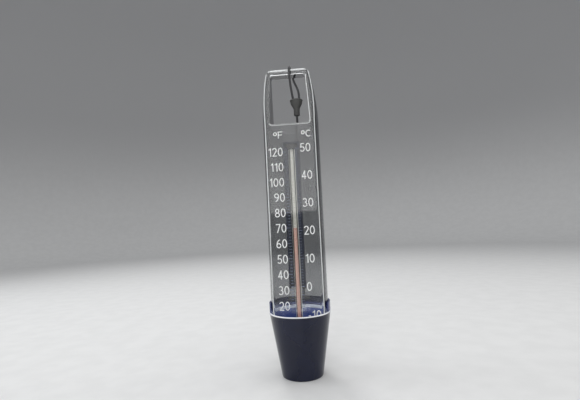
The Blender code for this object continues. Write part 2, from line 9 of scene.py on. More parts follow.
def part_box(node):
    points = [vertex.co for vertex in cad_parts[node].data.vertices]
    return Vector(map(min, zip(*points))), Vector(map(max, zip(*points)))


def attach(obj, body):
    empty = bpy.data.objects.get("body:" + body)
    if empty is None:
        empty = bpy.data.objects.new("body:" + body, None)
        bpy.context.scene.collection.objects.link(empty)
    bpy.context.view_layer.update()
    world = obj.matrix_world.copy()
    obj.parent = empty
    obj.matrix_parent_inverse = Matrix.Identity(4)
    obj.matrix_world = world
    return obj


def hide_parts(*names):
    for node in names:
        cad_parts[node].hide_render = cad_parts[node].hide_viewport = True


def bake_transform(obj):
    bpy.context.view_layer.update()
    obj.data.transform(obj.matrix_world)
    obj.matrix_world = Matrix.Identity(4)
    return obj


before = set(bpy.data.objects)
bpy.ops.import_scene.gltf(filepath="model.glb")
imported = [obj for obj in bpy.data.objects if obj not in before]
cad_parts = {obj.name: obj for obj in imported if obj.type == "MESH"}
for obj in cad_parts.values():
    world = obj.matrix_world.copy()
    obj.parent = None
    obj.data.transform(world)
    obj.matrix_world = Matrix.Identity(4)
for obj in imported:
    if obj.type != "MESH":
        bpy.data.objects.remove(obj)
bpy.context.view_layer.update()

scene = bpy.context.scene
scene.view_settings.view_transform = "Standard"

# ---------------------------------------------------------------------------------- camera
# An eye at arm's length from the scale, a little right of the tube and half way up the casing.
# It is turned slightly to the left and up, and it leans, so the casing stands a little askew.

eye = Vector((0.0277, -0.3341, 0.1232))
turn, lift, lean = math.radians(-5.39), math.radians(3.39), math.radians(-2.81)
ahead = Vector((math.sin(turn) * math.cos(lift), math.cos(turn) * math.cos(lift), math.sin(lift)))
level_right = Vector((math.cos(turn), -math.sin(turn), 0.0))
level_up = level_right.cross(ahead)
across = level_right * math.cos(lean) + level_up * math.sin(lean)
upwards = level_up * math.cos(lean) - level_right * math.sin(lean)
camera = bpy.data.objects.new("camera", bpy.data.cameras.new("camera"))
camera.data.lens = 24.83
camera.data.sensor_width = 36.0
camera.data.clip_start = 0.01
camera.matrix_world = Matrix.Translation(eye) @ Matrix((across, upwards, -ahead)).transposed().to_4x4()
scene.collection.objects.link(camera)
scene.camera = camera

# ------------------------------------------------------------------------------------ cord
# A 2 mm braided polyester cord, about 0.80 m long. It leaves the stopper, goes out over the
# window's sill, hangs down the back, and is wound up on the ground behind the cup.

cord_radius = 0.0010


def piece_from(name, mesh, work):
    """The work's faces turned outwards and written to the mesh, as an object in the scene."""
    bmesh.ops.recalc_face_normals(work, faces=work.faces)
    work.to_mesh(mesh)
    work.free()
    piece = bpy.data.objects.new(name, mesh)
    scene.collection.objects.link(piece)
    return piece


def surface(name, points, round_u=False, round_v=False):
    """A mesh over a grid of points with rows u and columns v: one quad between neighbours, and
    one more where the grid goes round. Points that meet are merged, and the faces turned outwards."""
    rows, columns = points.shape[:2]
    last_u, last_v = rows if round_u else rows - 1, columns if round_v else columns - 1
    u, v = np.meshgrid(np.arange(last_u), np.arange(last_v), indexing="ij")
    next_u, next_v = (u + 1) % rows, (v + 1) % columns
    quads = np.stack(
        [u * columns + v, u * columns + next_v, next_u * columns + next_v, next_u * columns + v], axis=-1
    ).reshape(-1, 4)
    mesh = bpy.data.meshes.new(name)
    mesh.from_pydata(points.reshape(-1, 3), [], quads)
    work = bmesh.new()
    work.from_mesh(mesh)
    bmesh.ops.remove_doubles(work, verts=work.verts, dist=1e-7)
    return piece_from(name, mesh, work)


def shade(piece, sharp_angle=32):
    """Smooth shading, with a crease wherever two faces meet at more than the angle."""
    piece.data.shade_smooth()
    piece.data.set_sharp_from_angle(angle=math.radians(sharp_angle))
    return piece


def flowing_line(route, spacing):
    """Points a fixed spacing apart on the Catmull-Rom curve through the route's points: between
    two of them it is the cubic whose slopes are half the gap between their neighbours."""
    knots = np.array(route, float)
    knots = np.vstack([2 * knots[0] - knots[1], knots, 2 * knots[-1] - knots[-2]])
    a, b, c, d = knots[:-3, None], knots[1:-2, None], knots[2:-1, None], knots[3:, None]
    t = np.linspace(0, 1, 24, endpoint=False)[None, :, None]
    fine = 0.5 * (2 * b + (c - a) * t + (2 * a - 5 * b + 4 * c - d) * t**2 + (3 * b - a - 3 * c + d) * t**3)
    fine = np.vstack([fine.reshape(-1, 3), knots[-2]])
    walked = np.concatenate([[0], np.cumsum(np.linalg.norm(np.diff(fine, axis=0), axis=1))])
    stops = np.linspace(0, walked[-1], max(2, round(walked[-1] / spacing)))
    return np.stack([np.interp(stops, walked, fine[:, k]) for k in range(3)], axis=1)


def braided_cord(name, line, radius, across_of, strands=3, pitch=0.0026, sides=18):
    """A round cord along a line: radius * (1 + 0.05 * (cos(2 strands a) + cos(2 turns s))), the sum
    of two crossing helices, so that the braid stands up as small diamonds. a goes round the cord
    and s along it. The ring's first direction is square to the line and to across_of."""
    along = np.gradient(line, axis=0)
    along /= np.linalg.norm(along, axis=1)[:, None]
    first = np.cross(np.array(across_of, float), along)
    first /= np.linalg.norm(first, axis=1)[:, None]
    second = np.cross(along, first)
    s = np.concatenate([[0], np.cumsum(np.linalg.norm(np.diff(line, axis=0), axis=1))])
    a = np.linspace(0, 2 * math.pi, sides, endpoint=False)
    relief = 0.05 * (np.cos(2 * strands * a)[None, :] * np.cos(2 * math.pi * s / pitch)[:, None])
    reach = radius * (0.96 + relief)
    ring = np.cos(a)[None, :, None] * first[:, None] + np.sin(a)[None, :, None] * second[:, None]
    points = line[:, None] + reach[:, :, None] * ring
    ends = [np.repeat(line[k][None, None], sides, axis=1) for k in (0, -1)]
    piece = surface(name, np.concatenate([ends[0], points, ends[1]]), round_v=True)
    return shade(piece, 60)


lead_route = [
    (0.0062, -0.0090, 0.2112),
    (0.0062, -0.0088, 0.2094),
    (0.0062, -0.0076, 0.2075),
    (0.0061, -0.0054, 0.2066),
    (0.0058, -0.0015, 0.2064),
    (0.0052, 0.0040, 0.2064),
    (0.0045, 0.0100, 0.2064),
    (0.0038, 0.0160, 0.2065),
    (0.0033, 0.0205, 0.2071),
    (0.0030, 0.0232, 0.2070),
    (0.0028, 0.0251, 0.2054),
    (0.0027, 0.0258, 0.2025),
    (0.0026, 0.0257, 0.1940),
    (0.0023, 0.0256, 0.1700),
    (0.0020, 0.0257, 0.1400),
    (0.0019, 0.0260, 0.1100),
    (0.0020, 0.0265, 0.0800),
    (0.0022, 0.0270, 0.0600),
    (0.0024, 0.0271, 0.0400),
    (0.0026, 0.0271, 0.0220),
    (0.0028, 0.0272, 0.0110),
    (0.0034, 0.0276, 0.0055),
    (0.0050, 0.0285, 0.0020),
    (0.0080, 0.0301, 0.0011),
    (0.0108, 0.0326, 0.0011),
    (0.0128, 0.0360, 0.0013),
    (0.0141, 0.0398, 0.0018),
]
coil_low, coil_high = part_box("cord_coil")
coil_x, coil_y = (coil_low.x + coil_high.x) / 2, (coil_low.y + coil_high.y) / 2
knot_low, knot_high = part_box("cord_end_knot")
knot_middle = (knot_low + knot_high) / 2


def easing(t):
    """0 before 0, 1 after 1, and a smooth S between them."""
    t = np.clip(t, 0, 1)
    return t * t * (3 - 2 * t)


def coil_turns():
    """The winding, as radius and height against the angle turned. Each turn keeps its row and its
    place in the row and shifts to the next over its last ninth: three turns inwards on the bottom
    row, three outwards on the middle one, one and a bit on the top, and out to the knot."""
    outer = coil_high.x - coil_x - cord_radius
    width = 2 * cord_radius
    low = coil_low.z + cord_radius
    radii = [outer - width * turns_in for turns_in in (0, 1, 2, 2, 1, 0, 1, 0)]
    heights = [low] * 3 + [low + width] * 3 + [low + 2 * width] * 2
    start = math.atan2(lead_route[-1][1] - coil_y, lead_route[-1][0] - coil_x)
    finish = math.atan2(knot_middle.y - coil_y, knot_middle.x - coil_x) + 2 * math.pi * 8
    turned = np.arange(start + 0.35, finish, 2 * math.pi / 28)
    part = (turned - start) / (2 * math.pi)
    radius, height = np.full_like(part, radii[0]), np.full_like(part, heights[0])
    for k in range(1, 8):
        radius += (radii[k] - radii[k - 1]) * easing((part - k) * 9 + 1)
        height += (heights[k] - heights[k - 1]) * easing((part - k) * 9 + 1)
    entry = math.hypot(lead_route[-1][0] - coil_x, lead_route[-1][1] - coil_y) - radii[0]
    radius += entry * (1 - easing(part * 7))
    away = math.hypot(knot_middle.x - coil_x, knot_middle.y - coil_y) - radii[-1]
    last = part[-1]
    radius += away * easing((part - last + 0.30) / 0.22)
    height += (knot_middle.z - heights[-1]) * easing((part - last + 0.22) / 0.20)
    return [
        (coil_x + r * math.cos(t), coil_y + r * math.sin(t), z) for r, t, z in zip(radius, turned, height)
    ]


cord_line = flowing_line(lead_route + coil_turns(), 0.00032)
cord = braided_cord("hanging_cord", cord_line, cord_radius, (0.6, 0.0, 0.8))
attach(cord, "casing")
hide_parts("cord_lead", "cord_coil")

loop_route = [
    (0.0037, -0.0098, 0.2258),
    (0.0034, -0.0113, 0.2280),
    (0.0029, -0.0132, 0.2320),
    (0.0025, -0.0148, 0.2360),
    (0.0022, -0.0160, 0.2405),
    (0.0020, -0.0168, 0.2450),
    (0.0020, -0.0170, 0.2477),
    (0.0020, -0.0165, 0.2497),
    (0.0021, -0.0150, 0.2512),
    (0.0022, -0.0130, 0.2517),
    (0.0023, -0.0090, 0.2517),
    (0.0025, -0.0050, 0.2517),
    (0.0027, -0.0012, 0.2517),
    (0.0029, 0.0008, 0.2512),
    (0.0032, 0.0023, 0.2497),
    (0.0036, 0.0028, 0.2477),
    (0.0042, 0.0025, 0.2452),
    (0.0052, 0.0012, 0.2422),
    (0.0065, -0.0015, 0.2387),
    (0.0077, -0.0048, 0.2347),
    (0.0085, -0.0075, 0.2302),
    (0.0087, -0.0086, 0.2258),
]
loop_line = flowing_line(loop_route, 0.0002)
loop = braided_cord("hanging_loop", loop_line, cord_radius, (1.0, 0.15, 0.1))
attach(loop, "casing")
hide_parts("cord_loop")


def knotted_end():
    """A small overhand knot: a tube along the trefoil (sin t + 2 sin 2t, cos t - 2 cos 2t, -sin 3t),
    pulled so tight that its strands press into each other."""
    t = np.linspace(0, 2 * math.pi, 220, endpoint=False)
    reach = (knot_high.x - knot_low.x) / 2 - 0.85 * cord_radius
    flat = np.stack([np.sin(t) + 2 * np.sin(2 * t), np.cos(t) - 2 * np.cos(2 * t)]) / 3 * reach
    line = np.stack([flat[0], flat[1], -0.95 * reach * np.sin(3 * t)], axis=1) + np.array(knot_middle)
    along = np.roll(line, -1, axis=0) - np.roll(line, 1, axis=0)
    along /= np.linalg.norm(along, axis=1)[:, None]
    first = np.cross(line - np.array(knot_middle), along)
    first /= np.linalg.norm(first, axis=1)[:, None]
    second = np.cross(along, first)
    a = np.linspace(0, 2 * math.pi, 18, endpoint=False)
    strand = 0.85 * cord_radius * (1 + 0.05 * np.cos(6 * a)[None, :] * np.cos(30 * t)[:, None])
    ring = np.cos(a)[None, :, None] * first[:, None] + np.sin(a)[None, :, None] * second[:, None]
    return shade(surface("end_knot", line[:, None] + strand[:, :, None] * ring, True, True), 60)


end_knot = knotted_end()
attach(end_knot, "casing")
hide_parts("cord_end_knot")


def band_round(name, path, half_width, half_thickness, along_axis):
    """A flat band with round edges that follows a closed path: each path point carries a
    superellipse, half_width along along_axis and half_thickness across the path."""
    path = np.array(path, float)
    axis = np.array(along_axis, float)
    along = np.roll(path, -1, axis=0) - np.roll(path, 1, axis=0)
    along /= np.linalg.norm(along, axis=1)[:, None]
    out = np.cross(along, axis)
    a = np.linspace(0, 2 * math.pi, 24, endpoint=False)
    wide = half_width * np.sign(np.cos(a)) * np.abs(np.cos(a)) ** 0.4
    thick = half_thickness * np.sign(np.sin(a)) * np.abs(np.sin(a)) ** 0.7
    points = path[:, None] + wide[None, :, None] * axis + thick[None, :, None] * out[:, None]
    return shade(surface(name, points, True, True), 50)


def round_box_path(middle, half_x, half_y, corner, side, rise, steps=8):
    """A rectangle with round corners about middle, drawn with directions side and rise."""
    a = np.linspace(0, math.pi / 2, steps)
    quarter = np.stack([np.cos(a), np.sin(a)], axis=1) * corner
    points = []
    for k, (sx, sy) in enumerate([(1, 1), (-1, 1), (-1, -1), (1, -1)]):
        c, s = math.cos(k * math.pi / 2), math.sin(k * math.pi / 2)
        turned = quarter @ np.array([[c, s], [-s, c]])
        points.append(turned + [sx * (half_x - corner), sy * (half_y - corner)])
    flat = np.concatenate(points)
    return np.array(middle) + flat[:, :1] * np.array(side) + flat[:, 1:] * np.array(rise)


tie_low, tie_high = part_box("cord_tie")
tie_middle = (tie_low + tie_high) / 2
tie_size = tie_high - tie_low
tie_half_thick = 0.00025
tie_half_y, tie_half_z = tie_size.y / 2 - tie_half_thick, tie_size.z / 2 - tie_half_thick
tie = band_round(
    "coil_tie",
    round_box_path(tie_middle, tie_half_y, tie_half_z, 0.0012, (0, 1, 0), (0, 0, 1)),
    tie_size.x / 2,
    tie_half_thick,
    (1, 0, 0),
)
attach(tie, "casing")
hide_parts("cord_tie")


# Node groups for the grain, the hairline scratches and the dust that every finish shares.
def node_group(name, inputs, outputs):
    """An empty group with float inputs (name, default) and float outputs."""
    tree = bpy.data.node_groups.new(name, "ShaderNodeTree")
    for label, value in inputs:
        socket = tree.interface.new_socket(label, in_out="INPUT", socket_type="NodeSocketFloat")
        socket.default_value = value
    for label in outputs:
        tree.interface.new_socket(label, in_out="OUTPUT", socket_type="NodeSocketFloat")
    return tree, tree.nodes.new("NodeGroupInput"), tree.nodes.new("NodeGroupOutput")


def maths(tree, operation, first, second=None, clamp=False):
    """A Math node; each input is a socket or a number."""
    node = tree.nodes.new("ShaderNodeMath")
    node.operation = operation
    node.use_clamp = clamp
    for slot, value in zip(node.inputs, (first, second)):
        if isinstance(value, bpy.types.NodeSocket):
            tree.links.new(value, slot)
        elif value is not None:
            slot.default_value = value
    return node.outputs[0]


def noise(tree, scale, detail=2.0, stretch=(1, 1, 1), turned=(0, 0, 0)):
    """Noise on the piece's own coordinates; scale is a socket or features for each metre."""
    place = tree.nodes.new("ShaderNodeTexCoord")
    mapping = tree.nodes.new("ShaderNodeMapping")
    mapping.inputs["Scale"].default_value = stretch
    mapping.inputs["Rotation"].default_value = turned
    node = tree.nodes.new("ShaderNodeTexNoise")
    node.inputs["Detail"].default_value = detail
    tree.links.new(place.outputs["Object"], mapping.inputs["Vector"])
    tree.links.new(mapping.outputs[0], node.inputs["Vector"])
    if isinstance(scale, bpy.types.NodeSocket):
        tree.links.new(scale, node.inputs["Scale"])
    else:
        node.inputs["Scale"].default_value = scale
    return node.outputs["Fac"]


def band_of(tree, value, low, high):
    """0 below low, 1 above high, smooth between."""
    node = tree.nodes.new("ShaderNodeMapRange")
    node.interpolation_type = "SMOOTHSTEP"
    node.inputs["From Min"].default_value = low
    node.inputs["From Max"].default_value = high
    tree.links.new(value, node.inputs["Value"])
    return node.outputs[0]


grain_group, grain_in, grain_out = node_group("moulding_grain", [("Size", 900.0)], ["Height", "Tone"])
grain_group.links.new(noise(grain_group, grain_in.outputs["Size"], 3.0), grain_out.inputs["Height"])
patchy = band_of(grain_group, noise(grain_group, 45.0, 3.0), 0.3, 0.7)
grain_group.links.new(patchy, grain_out.inputs["Tone"])

hairline_group, hairline_in, hairline_out = node_group("hairline_scratches", [("Share", 0.5)], ["Mask"])
sweeps = [
    noise(hairline_group, 2600.0, 1.0, (1, 1, 0.02), (0.2, 0.35, 0.1)),
    noise(hairline_group, 2100.0, 1.0, (1, 1, 0.03), (-0.5, -0.7, 0.2)),
    noise(hairline_group, 2300.0, 1.0, (0.03, 1, 1), (0.1, 0.3, -0.2)),
]
thin = [band_of(hairline_group, sweep, 0.70, 0.76) for sweep in sweeps]
patches = band_of(hairline_group, noise(hairline_group, 90.0, 2.0), 0.42, 0.62)
thickest = maths(hairline_group, "MAXIMUM", maths(hairline_group, "MAXIMUM", thin[0], thin[1]), thin[2])
gated = maths(hairline_group, "MULTIPLY", thickest, patches)
hairline_group.links.new(
    maths(hairline_group, "MULTIPLY", gated, hairline_in.outputs["Share"], True), hairline_out.inputs["Mask"]
)

dust_group, dust_in, dust_out = node_group("settled_dust", [("Share", 0.5)], ["Mask"])
specks = dust_group.nodes.new("ShaderNodeTexVoronoi")
specks.inputs["Scale"].default_value = 700.0
dust_place = dust_group.nodes.new("ShaderNodeTexCoord")
dust_group.links.new(dust_place.outputs["Object"], specks.inputs["Vector"])
small = band_of(dust_group, specks.outputs["Distance"], 0.16, 0.08)
sparse = band_of(dust_group, noise(dust_group, 260.0, 1.0), 0.56, 0.66)
settled = maths(dust_group, "MULTIPLY", small, sparse)
dust_group.links.new(
    maths(dust_group, "MULTIPLY", settled, dust_in.outputs["Share"], True), dust_out.inputs["Mask"]
)


def placed(tree, group, **values):
    """A group node in a material, with its own values."""
    node = tree.nodes.new("ShaderNodeGroup")
    node.node_tree = group
    for label, value in values.items():
        node.inputs[label].default_value = value
    return node


def blended(tree, share, first, second):
    """A colour between two, by a mask; each colour is a socket or a tuple."""
    node = tree.nodes.new("ShaderNodeMix")
    node.data_type = "RGBA"
    tree.links.new(share, node.inputs["Factor"])
    for label, value in (("A", first), ("B", second)):
        slot = next(s for s in node.inputs if s.name == label and s.type == "RGBA")
        if isinstance(value, bpy.types.NodeSocket):
            tree.links.new(value, slot)
        else:
            slot.default_value = (*value, 1.0)
    return next(s for s in node.outputs if s.type == "RGBA")


def ranged(tree, share, low, high):
    """A number from low to high, by a mask."""
    node = tree.nodes.new("ShaderNodeMapRange")
    node.inputs["To Min"].default_value = low
    node.inputs["To Max"].default_value = high
    tree.links.new(share, node.inputs["Value"])
    return node.outputs[0]


def raised(tree, height, depth, strength=1.0):
    """A normal that follows a height in metres."""
    node = tree.nodes.new("ShaderNodeBump")
    node.inputs["Distance"].default_value = depth
    node.inputs["Strength"].default_value = strength
    tree.links.new(height, node.inputs["Height"])
    return node.outputs[0]


def place_parts(tree):
    """The X, Y and Z of the piece's own coordinates."""
    place = tree.nodes.new("ShaderNodeTexCoord")
    parts = tree.nodes.new("ShaderNodeSeparateXYZ")
    tree.links.new(place.outputs["Object"], parts.inputs[0])
    return parts.outputs


def new_finish(name):
    made = bpy.data.materials.new(name)
    made.use_nodes = True
    return made, made.node_tree, made.node_tree.nodes["Principled BSDF"]


def feed(tree, shader, colour, rough, normal=None):
    """Links a finish's colour, roughness and normal to its shader."""
    for label, socket in (("Base Color", colour), ("Roughness", rough), ("Normal", normal)):
        if socket is not None:
            tree.links.new(socket, shader.inputs[label])


def coat_with(made, *pieces):
    """Puts one finish in every slot of the pieces."""
    for piece in pieces:
        if piece.data.materials:
            for k in range(len(piece.data.materials)):
                piece.data.materials[k] = made
            for slot in piece.material_slots:
                slot.material = made
        else:
            piece.data.materials.append(made)


def cord_finish():
    """Charcoal polyester, lighter and darker fibre by fibre at random, with dull, fuzzy fibres."""
    made, tree, shader = new_finish("charcoal_braid")
    fibres = noise(tree, 5200.0, 3.0, (1, 1, 0.3))
    tone = placed(tree, grain_group, Size=1600.0)
    dust = placed(tree, dust_group, Share=0.5)
    colour = blended(tree, fibres, (0.020, 0.020, 0.022), (0.085, 0.086, 0.090))
    colour = blended(tree, dust.outputs["Mask"], colour, (0.22, 0.21, 0.19))
    feed(tree, shader, colour, ranged(tree, tone.outputs["Tone"], 0.72, 0.90), raised(tree, fibres, 0.00006))
    shader.inputs["Sheen Weight"].default_value = 0.25
    shader.inputs["Sheen Roughness"].default_value = 0.5
    return made


coat_with(cord_finish(), cord, loop, end_knot)

# ------------------------------------------------------------------------------ front plate
# The flat scale face: a 2.4 mm plate of clear polystyrene, cemented on the front of the shell.
# Its rim is rounded over, and the head has a window for the cord. The plate is one closed ring.

plate_low, plate_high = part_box("front_plate")
shell_low, shell_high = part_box("rear_shell")
cup_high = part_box("cup_shell")[1]
collar_low, collar_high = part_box("cup_collar")
face_y, plate_back_y = plate_low.y, plate_high.y
foot_z, crown_z = plate_low.z, plate_high.z
casing_radius = shell_high.x
cup_mouth_radius, cup_height = cup_high.x, cup_high.z
cup_wall = 0.0016
cup_base_radius = 0.0168
shoulder_z = 0.208
head_narrowing, head_depth, head_corner = 0.0062, 0.014, 0.003
window_low_z, window_high_z = 0.205, 0.246
window_half_low, window_half_high, window_corner = 0.0166, 0.0143, 0.0022


def head_share(z):
    """0 up to the shoulder, 1 at the crown."""
    return np.maximum(0.0, (z - shoulder_z) / (crown_z - shoulder_z))


def casing_half_width(z):
    """The casing's radius, less where the cup's taper holds it, less head_narrowing times the
    1.8th power of the head's share, with round corners at the crown."""
    in_cup = cup_base_radius - cup_wall + (cup_mouth_radius - cup_base_radius) * z / cup_height - 0.00035
    width = np.minimum(casing_radius, in_cup) - head_narrowing * head_share(z) ** 1.8
    into = np.maximum(0.0, z - (crown_z - head_corner))
    return width - (head_corner - np.sqrt(np.maximum(0.0, head_corner**2 - into**2)))


def casing_section(z):
    """The section's ellipse, cut off flat in front: its half width, its half depth and the Y of its
    centre. It is a circle in the body and flattens to head_depth at the crown on a smooth S."""
    width = casing_half_width(z)
    share = head_share(z)
    lip = (casing_radius - math.sqrt(casing_radius**2 - face_y**2)) * (1 - 0.75 * share)
    flat = np.where(share > 0, width - lip, np.sqrt(np.maximum(width**2 - face_y**2, 0)))
    depth = (width - face_y) + (head_depth - (width - face_y)) * easing(share)
    front_sine = np.sqrt(np.maximum(0.0, 1 - (flat / width) ** 2))
    deep = depth / (1 + front_sine)
    return width, deep, face_y + deep * front_sine


def half_width_at(z, y):
    """Half the casing's width at height z and depth y, from its ellipse."""
    wide, deep, centre = casing_section(z)
    return wide * np.sqrt(np.maximum(0.0, 1 - ((y - centre) / deep) ** 2))


def window_edge(grow=0.0, steps=10):
    """The window's outline in X and Z, anticlockwise: a trapezoid whose corners are arcs."""
    slant = (window_half_low - window_half_high) / (window_high_z - window_low_z)
    half_low, half_high = window_half_low + grow * (1 + slant), window_half_high + grow * (1 - slant)
    low, high, corner = window_low_z - grow, window_high_z + grow, window_corner + grow
    lean_angle = math.atan(slant)
    points = []
    for x, z, begin, end in (
        (half_low, low, -math.pi / 2, lean_angle),
        (half_high, high, lean_angle, math.pi / 2),
        (-half_high, high, math.pi / 2, math.pi - lean_angle),
        (-half_low, low, math.pi - lean_angle, 1.5 * math.pi),
    ):
        half_turn = (end - begin) / 2
        to_centre = corner / math.cos(half_turn)
        toward = (begin + end) / 2
        centre = np.array([x, z]) - to_centre * np.array([math.cos(toward), math.sin(toward)])
        a = np.linspace(begin, end, steps)
        points.append(centre + corner * np.stack([np.cos(a), np.sin(a)], axis=1))
    return np.concatenate(points)


def upright(flat, y):
    """An outline in X and Z stood up at depth y, one number or one for each point."""
    return np.stack([flat[:, 0], np.broadcast_to(y, len(flat)), flat[:, 1]], axis=1)


def outward(outline):
    """Unit normals of a closed anticlockwise outline, square to the line between its neighbours."""
    along = np.roll(outline, -1, axis=0) - np.roll(outline, 1, axis=0)
    along /= np.linalg.norm(along, axis=1)[:, None]
    return np.stack([along[:, 1], -along[:, 0]], axis=1)


def casing_outline(y):
    """The casing's outline in X and Z at depth y, anticlockwise: the foot, the right side, the
    crown and the left side. Points are close in the head and at the corners."""
    heights = np.concatenate([
        np.linspace(foot_z, 0.056, 12, endpoint=False),
        np.linspace(0.056, 0.200, 70, endpoint=False),
        np.linspace(0.200, crown_z - head_corner, 84, endpoint=False),
        crown_z - head_corner * (1 - np.sin(np.linspace(0, math.pi / 2, 14))),
    ])
    half = half_width_at(heights, y)
    foot_x = np.linspace(-half[0], half[0], 24)[1:-1]
    crown_x = np.linspace(half[-1], -half[-1], 60)[1:-1]
    return np.concatenate([
        np.stack([foot_x, np.full_like(foot_x, foot_z)], axis=1),
        np.stack([half, heights], axis=1),
        np.stack([crown_x, np.full_like(crown_x, crown_z)], axis=1),
        np.stack([-half[::-1], heights[::-1]], axis=1),
    ])


def window_seen_from_outline(outline, grow=0.0):
    """For each point of the casing's outline, the window's edge on the line to the window's middle."""
    middle = np.array([0.0, (window_low_z + window_high_z) / 2])
    edge = window_edge(grow, 24) - middle
    fine = np.concatenate([edge + (np.roll(edge, -1, axis=0) - edge) * t for t in np.arange(0, 1, 0.02)])
    bearing = np.arctan2(fine[:, 1], fine[:, 0])
    order = np.argsort(bearing)
    rays = np.arctan2(outline[:, 1] - middle[1], outline[:, 0] - middle[0])
    reach = np.interp(rays, bearing[order], np.hypot(fine[:, 0], fine[:, 1])[order], period=2 * math.pi)
    return middle + np.stack([np.cos(rays), np.sin(rays)], axis=1) * reach[:, None]


def clear_face():
    """The plate's section, window to rim, carried round the casing's outline: the face, a quarter
    round, the side, a smaller quarter round, the back, and the window's rounded edge."""
    front, back = casing_outline(face_y), casing_outline(plate_back_y)
    window = window_seen_from_outline(front)
    out_front, out_back, out_window = outward(front), outward(back), outward(window)
    quarter = np.linspace(0, math.pi / 2, 7)
    rim, back_rim, lip = 0.0008, 0.0003, 0.0006
    rows = []

    def add(flat, y):
        rows.append(upright(flat, y))

    for a in quarter:
        add(window + out_window * lip * (1 - math.cos(a)), face_y + lip * (1 - math.sin(a)))
    inner, outer = window + out_window * lip, front - out_front * rim
    for t in (0.02, 0.25, 0.5, 0.75, 0.98):
        add(inner + (outer - inner) * t, face_y)
    for a in quarter:
        add(front - out_front * rim * (1 - math.sin(a)), face_y + rim * (1 - math.cos(a)))
    for a in quarter[::-1]:
        add(back - out_back * back_rim * (1 - math.sin(a)), plate_back_y - back_rim * (1 - math.cos(a)))
    inner, outer = window + out_window * back_rim, back - out_back * back_rim
    for t in (0.98, 0.5, 0.02):
        add(inner + (outer - inner) * t, plate_back_y)
    for a in quarter:
        add(window + out_window * back_rim * (1 - math.sin(a)), plate_back_y - back_rim * (1 - math.cos(a)))
    return shade(surface("clear_face", np.stack(rows), True, True), 30)


def cement_bead(name, outline, radius):
    """A round pale bead along an outline, between plate and shell: dried solvent cement at the window, a
    painted highlight along the rim.
    """
    return band_round(name, upright(outline, plate_back_y + 0.00012), radius, radius, (0, 1, 0))


plate = clear_face()
joint = casing_outline(plate_back_y)
# The rim bead is a painted highlight: a pale line standing in for light caught along the plate's edge.
rim_highlight_bead = cement_bead("rim_painted_highlight", joint - outward(joint) * 0.0006, 0.00046)
window_bead = cement_bead("window_cement", window_edge(0.0006), 0.00022)
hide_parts("front_plate")
for piece in (plate, rim_highlight_bead, window_bead):
    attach(piece, "casing")


def lets_lamps_through(tree, shader, tint):
    """Lamps shine through the glass onto what is behind it: shadow rays meet a tinted clear sheet.
    The tint is a socket or a colour."""
    path = tree.nodes.new("ShaderNodeLightPath")
    clear = tree.nodes.new("ShaderNodeBsdfTransparent")
    if isinstance(tint, bpy.types.NodeSocket):
        tree.links.new(tint, clear.inputs["Color"])
    else:
        clear.inputs["Color"].default_value = (*tint, 1.0)
    mix = tree.nodes.new("ShaderNodeMixShader")
    tree.links.new(path.outputs["Is Shadow Ray"], mix.inputs["Fac"])
    tree.links.new(shader.outputs[0], mix.inputs[1])
    tree.links.new(clear.outputs[0], mix.inputs[2])
    tree.links.new(mix.outputs[0], tree.nodes["Material Output"].inputs["Surface"])


def clear_plastic_finish():
    """Clear moulded polystyrene with a faint warm tone, handling scratches and dust."""
    made, tree, shader = new_finish("clear_face_plastic")
    grain = placed(tree, grain_group, Size=140.0)
    lines = placed(tree, hairline_group, Share=0.6)
    shader.inputs["Transmission Weight"].default_value = 1.0
    shader.inputs["IOR"].default_value = 1.45
    colour = blended(tree, grain.outputs["Tone"], (0.92, 0.93, 0.93), (0.95, 0.96, 0.95))
    rough = ranged(tree, lines.outputs["Mask"], 0.015, 0.22)
    feed(tree, shader, colour, rough, raised(tree, grain.outputs["Height"], 0.00008, 0.35))
    lets_lamps_through(tree, shader, (0.92, 0.93, 0.93))
    return made


def cement_finish():
    """Milky white with small bubbles: solvent cement dried milky at the window, and a painted highlight along
    the plate's rim.
    """
    made, tree, shader = new_finish("milky_cement_and_painted_highlight")
    bubbles = noise(tree, 2400.0, 2.0)
    colour = blended(tree, bubbles, (0.74, 0.76, 0.77), (0.93, 0.94, 0.93))
    feed(tree, shader, colour, ranged(tree, bubbles, 0.25, 0.45), raised(tree, bubbles, 0.00003))
    shader.inputs["Subsurface Weight"].default_value = 0.3
    shader.inputs["Subsurface Radius"].default_value = (0.001, 0.001, 0.001)
    shader.inputs["Subsurface Scale"].default_value = 1.0
    return made


coat_with(clear_plastic_finish(), plate)
coat_with(cement_finish(), rim_highlight_bead, window_bead)

# -------------------------------------------------------------------------------- rear shell
# The round-backed half of the casing, injection moulded in one 1.8 mm shot of smoked, see-through
# plastic. A liner leads the window through it, from the plate to a rolled lip at the back.

shell_front_y = shell_low.y
shell_wall = 0.0018
liner_wall = 0.0016


def shell_skin():
    """The outer skin: at each height an elliptic arc from one front edge round the back to the
    other. Over the crown the arcs draw in on a quarter round and then to the front edge's middle."""
    crown_round = 0.0022
    heights = np.concatenate([
        np.linspace(foot_z, 0.060, 14, endpoint=False),
        np.linspace(0.060, 0.200, 36, endpoint=False),
        np.linspace(0.200, crown_z - head_corner, 46),
    ])
    over = np.linspace(0, math.pi / 2, 10)[1:]
    heights = np.concatenate([heights, crown_z - head_corner * (1 - np.sin(over))])
    draw_in = np.maximum(0.0, crown_round - np.sqrt(np.maximum(
        0.0, crown_round**2 - np.maximum(0.0, heights - (crown_z - crown_round)) ** 2)))
    wide, deep, centre = casing_section(heights)
    deep = deep - draw_in
    begin = np.arcsin(np.clip((shell_front_y - centre) / deep, -1, 1))
    a = begin[:, None] + (math.pi - 2 * begin)[:, None] * np.linspace(0, 1, 97)[None, :]
    rows = np.stack([
        wide[:, None] * np.cos(a),
        centre[:, None] + deep[:, None] * np.sin(a),
        np.repeat(heights[:, None], 97, axis=1),
    ], axis=-1)
    pole = np.array([0.0, shell_front_y, crown_z])
    lid = np.stack([pole + (rows[-1] - pole) * k for k in (0.85, 0.6, 0.3, 0.0)])
    return surface("smoked_shell", np.concatenate([rows, lid]))


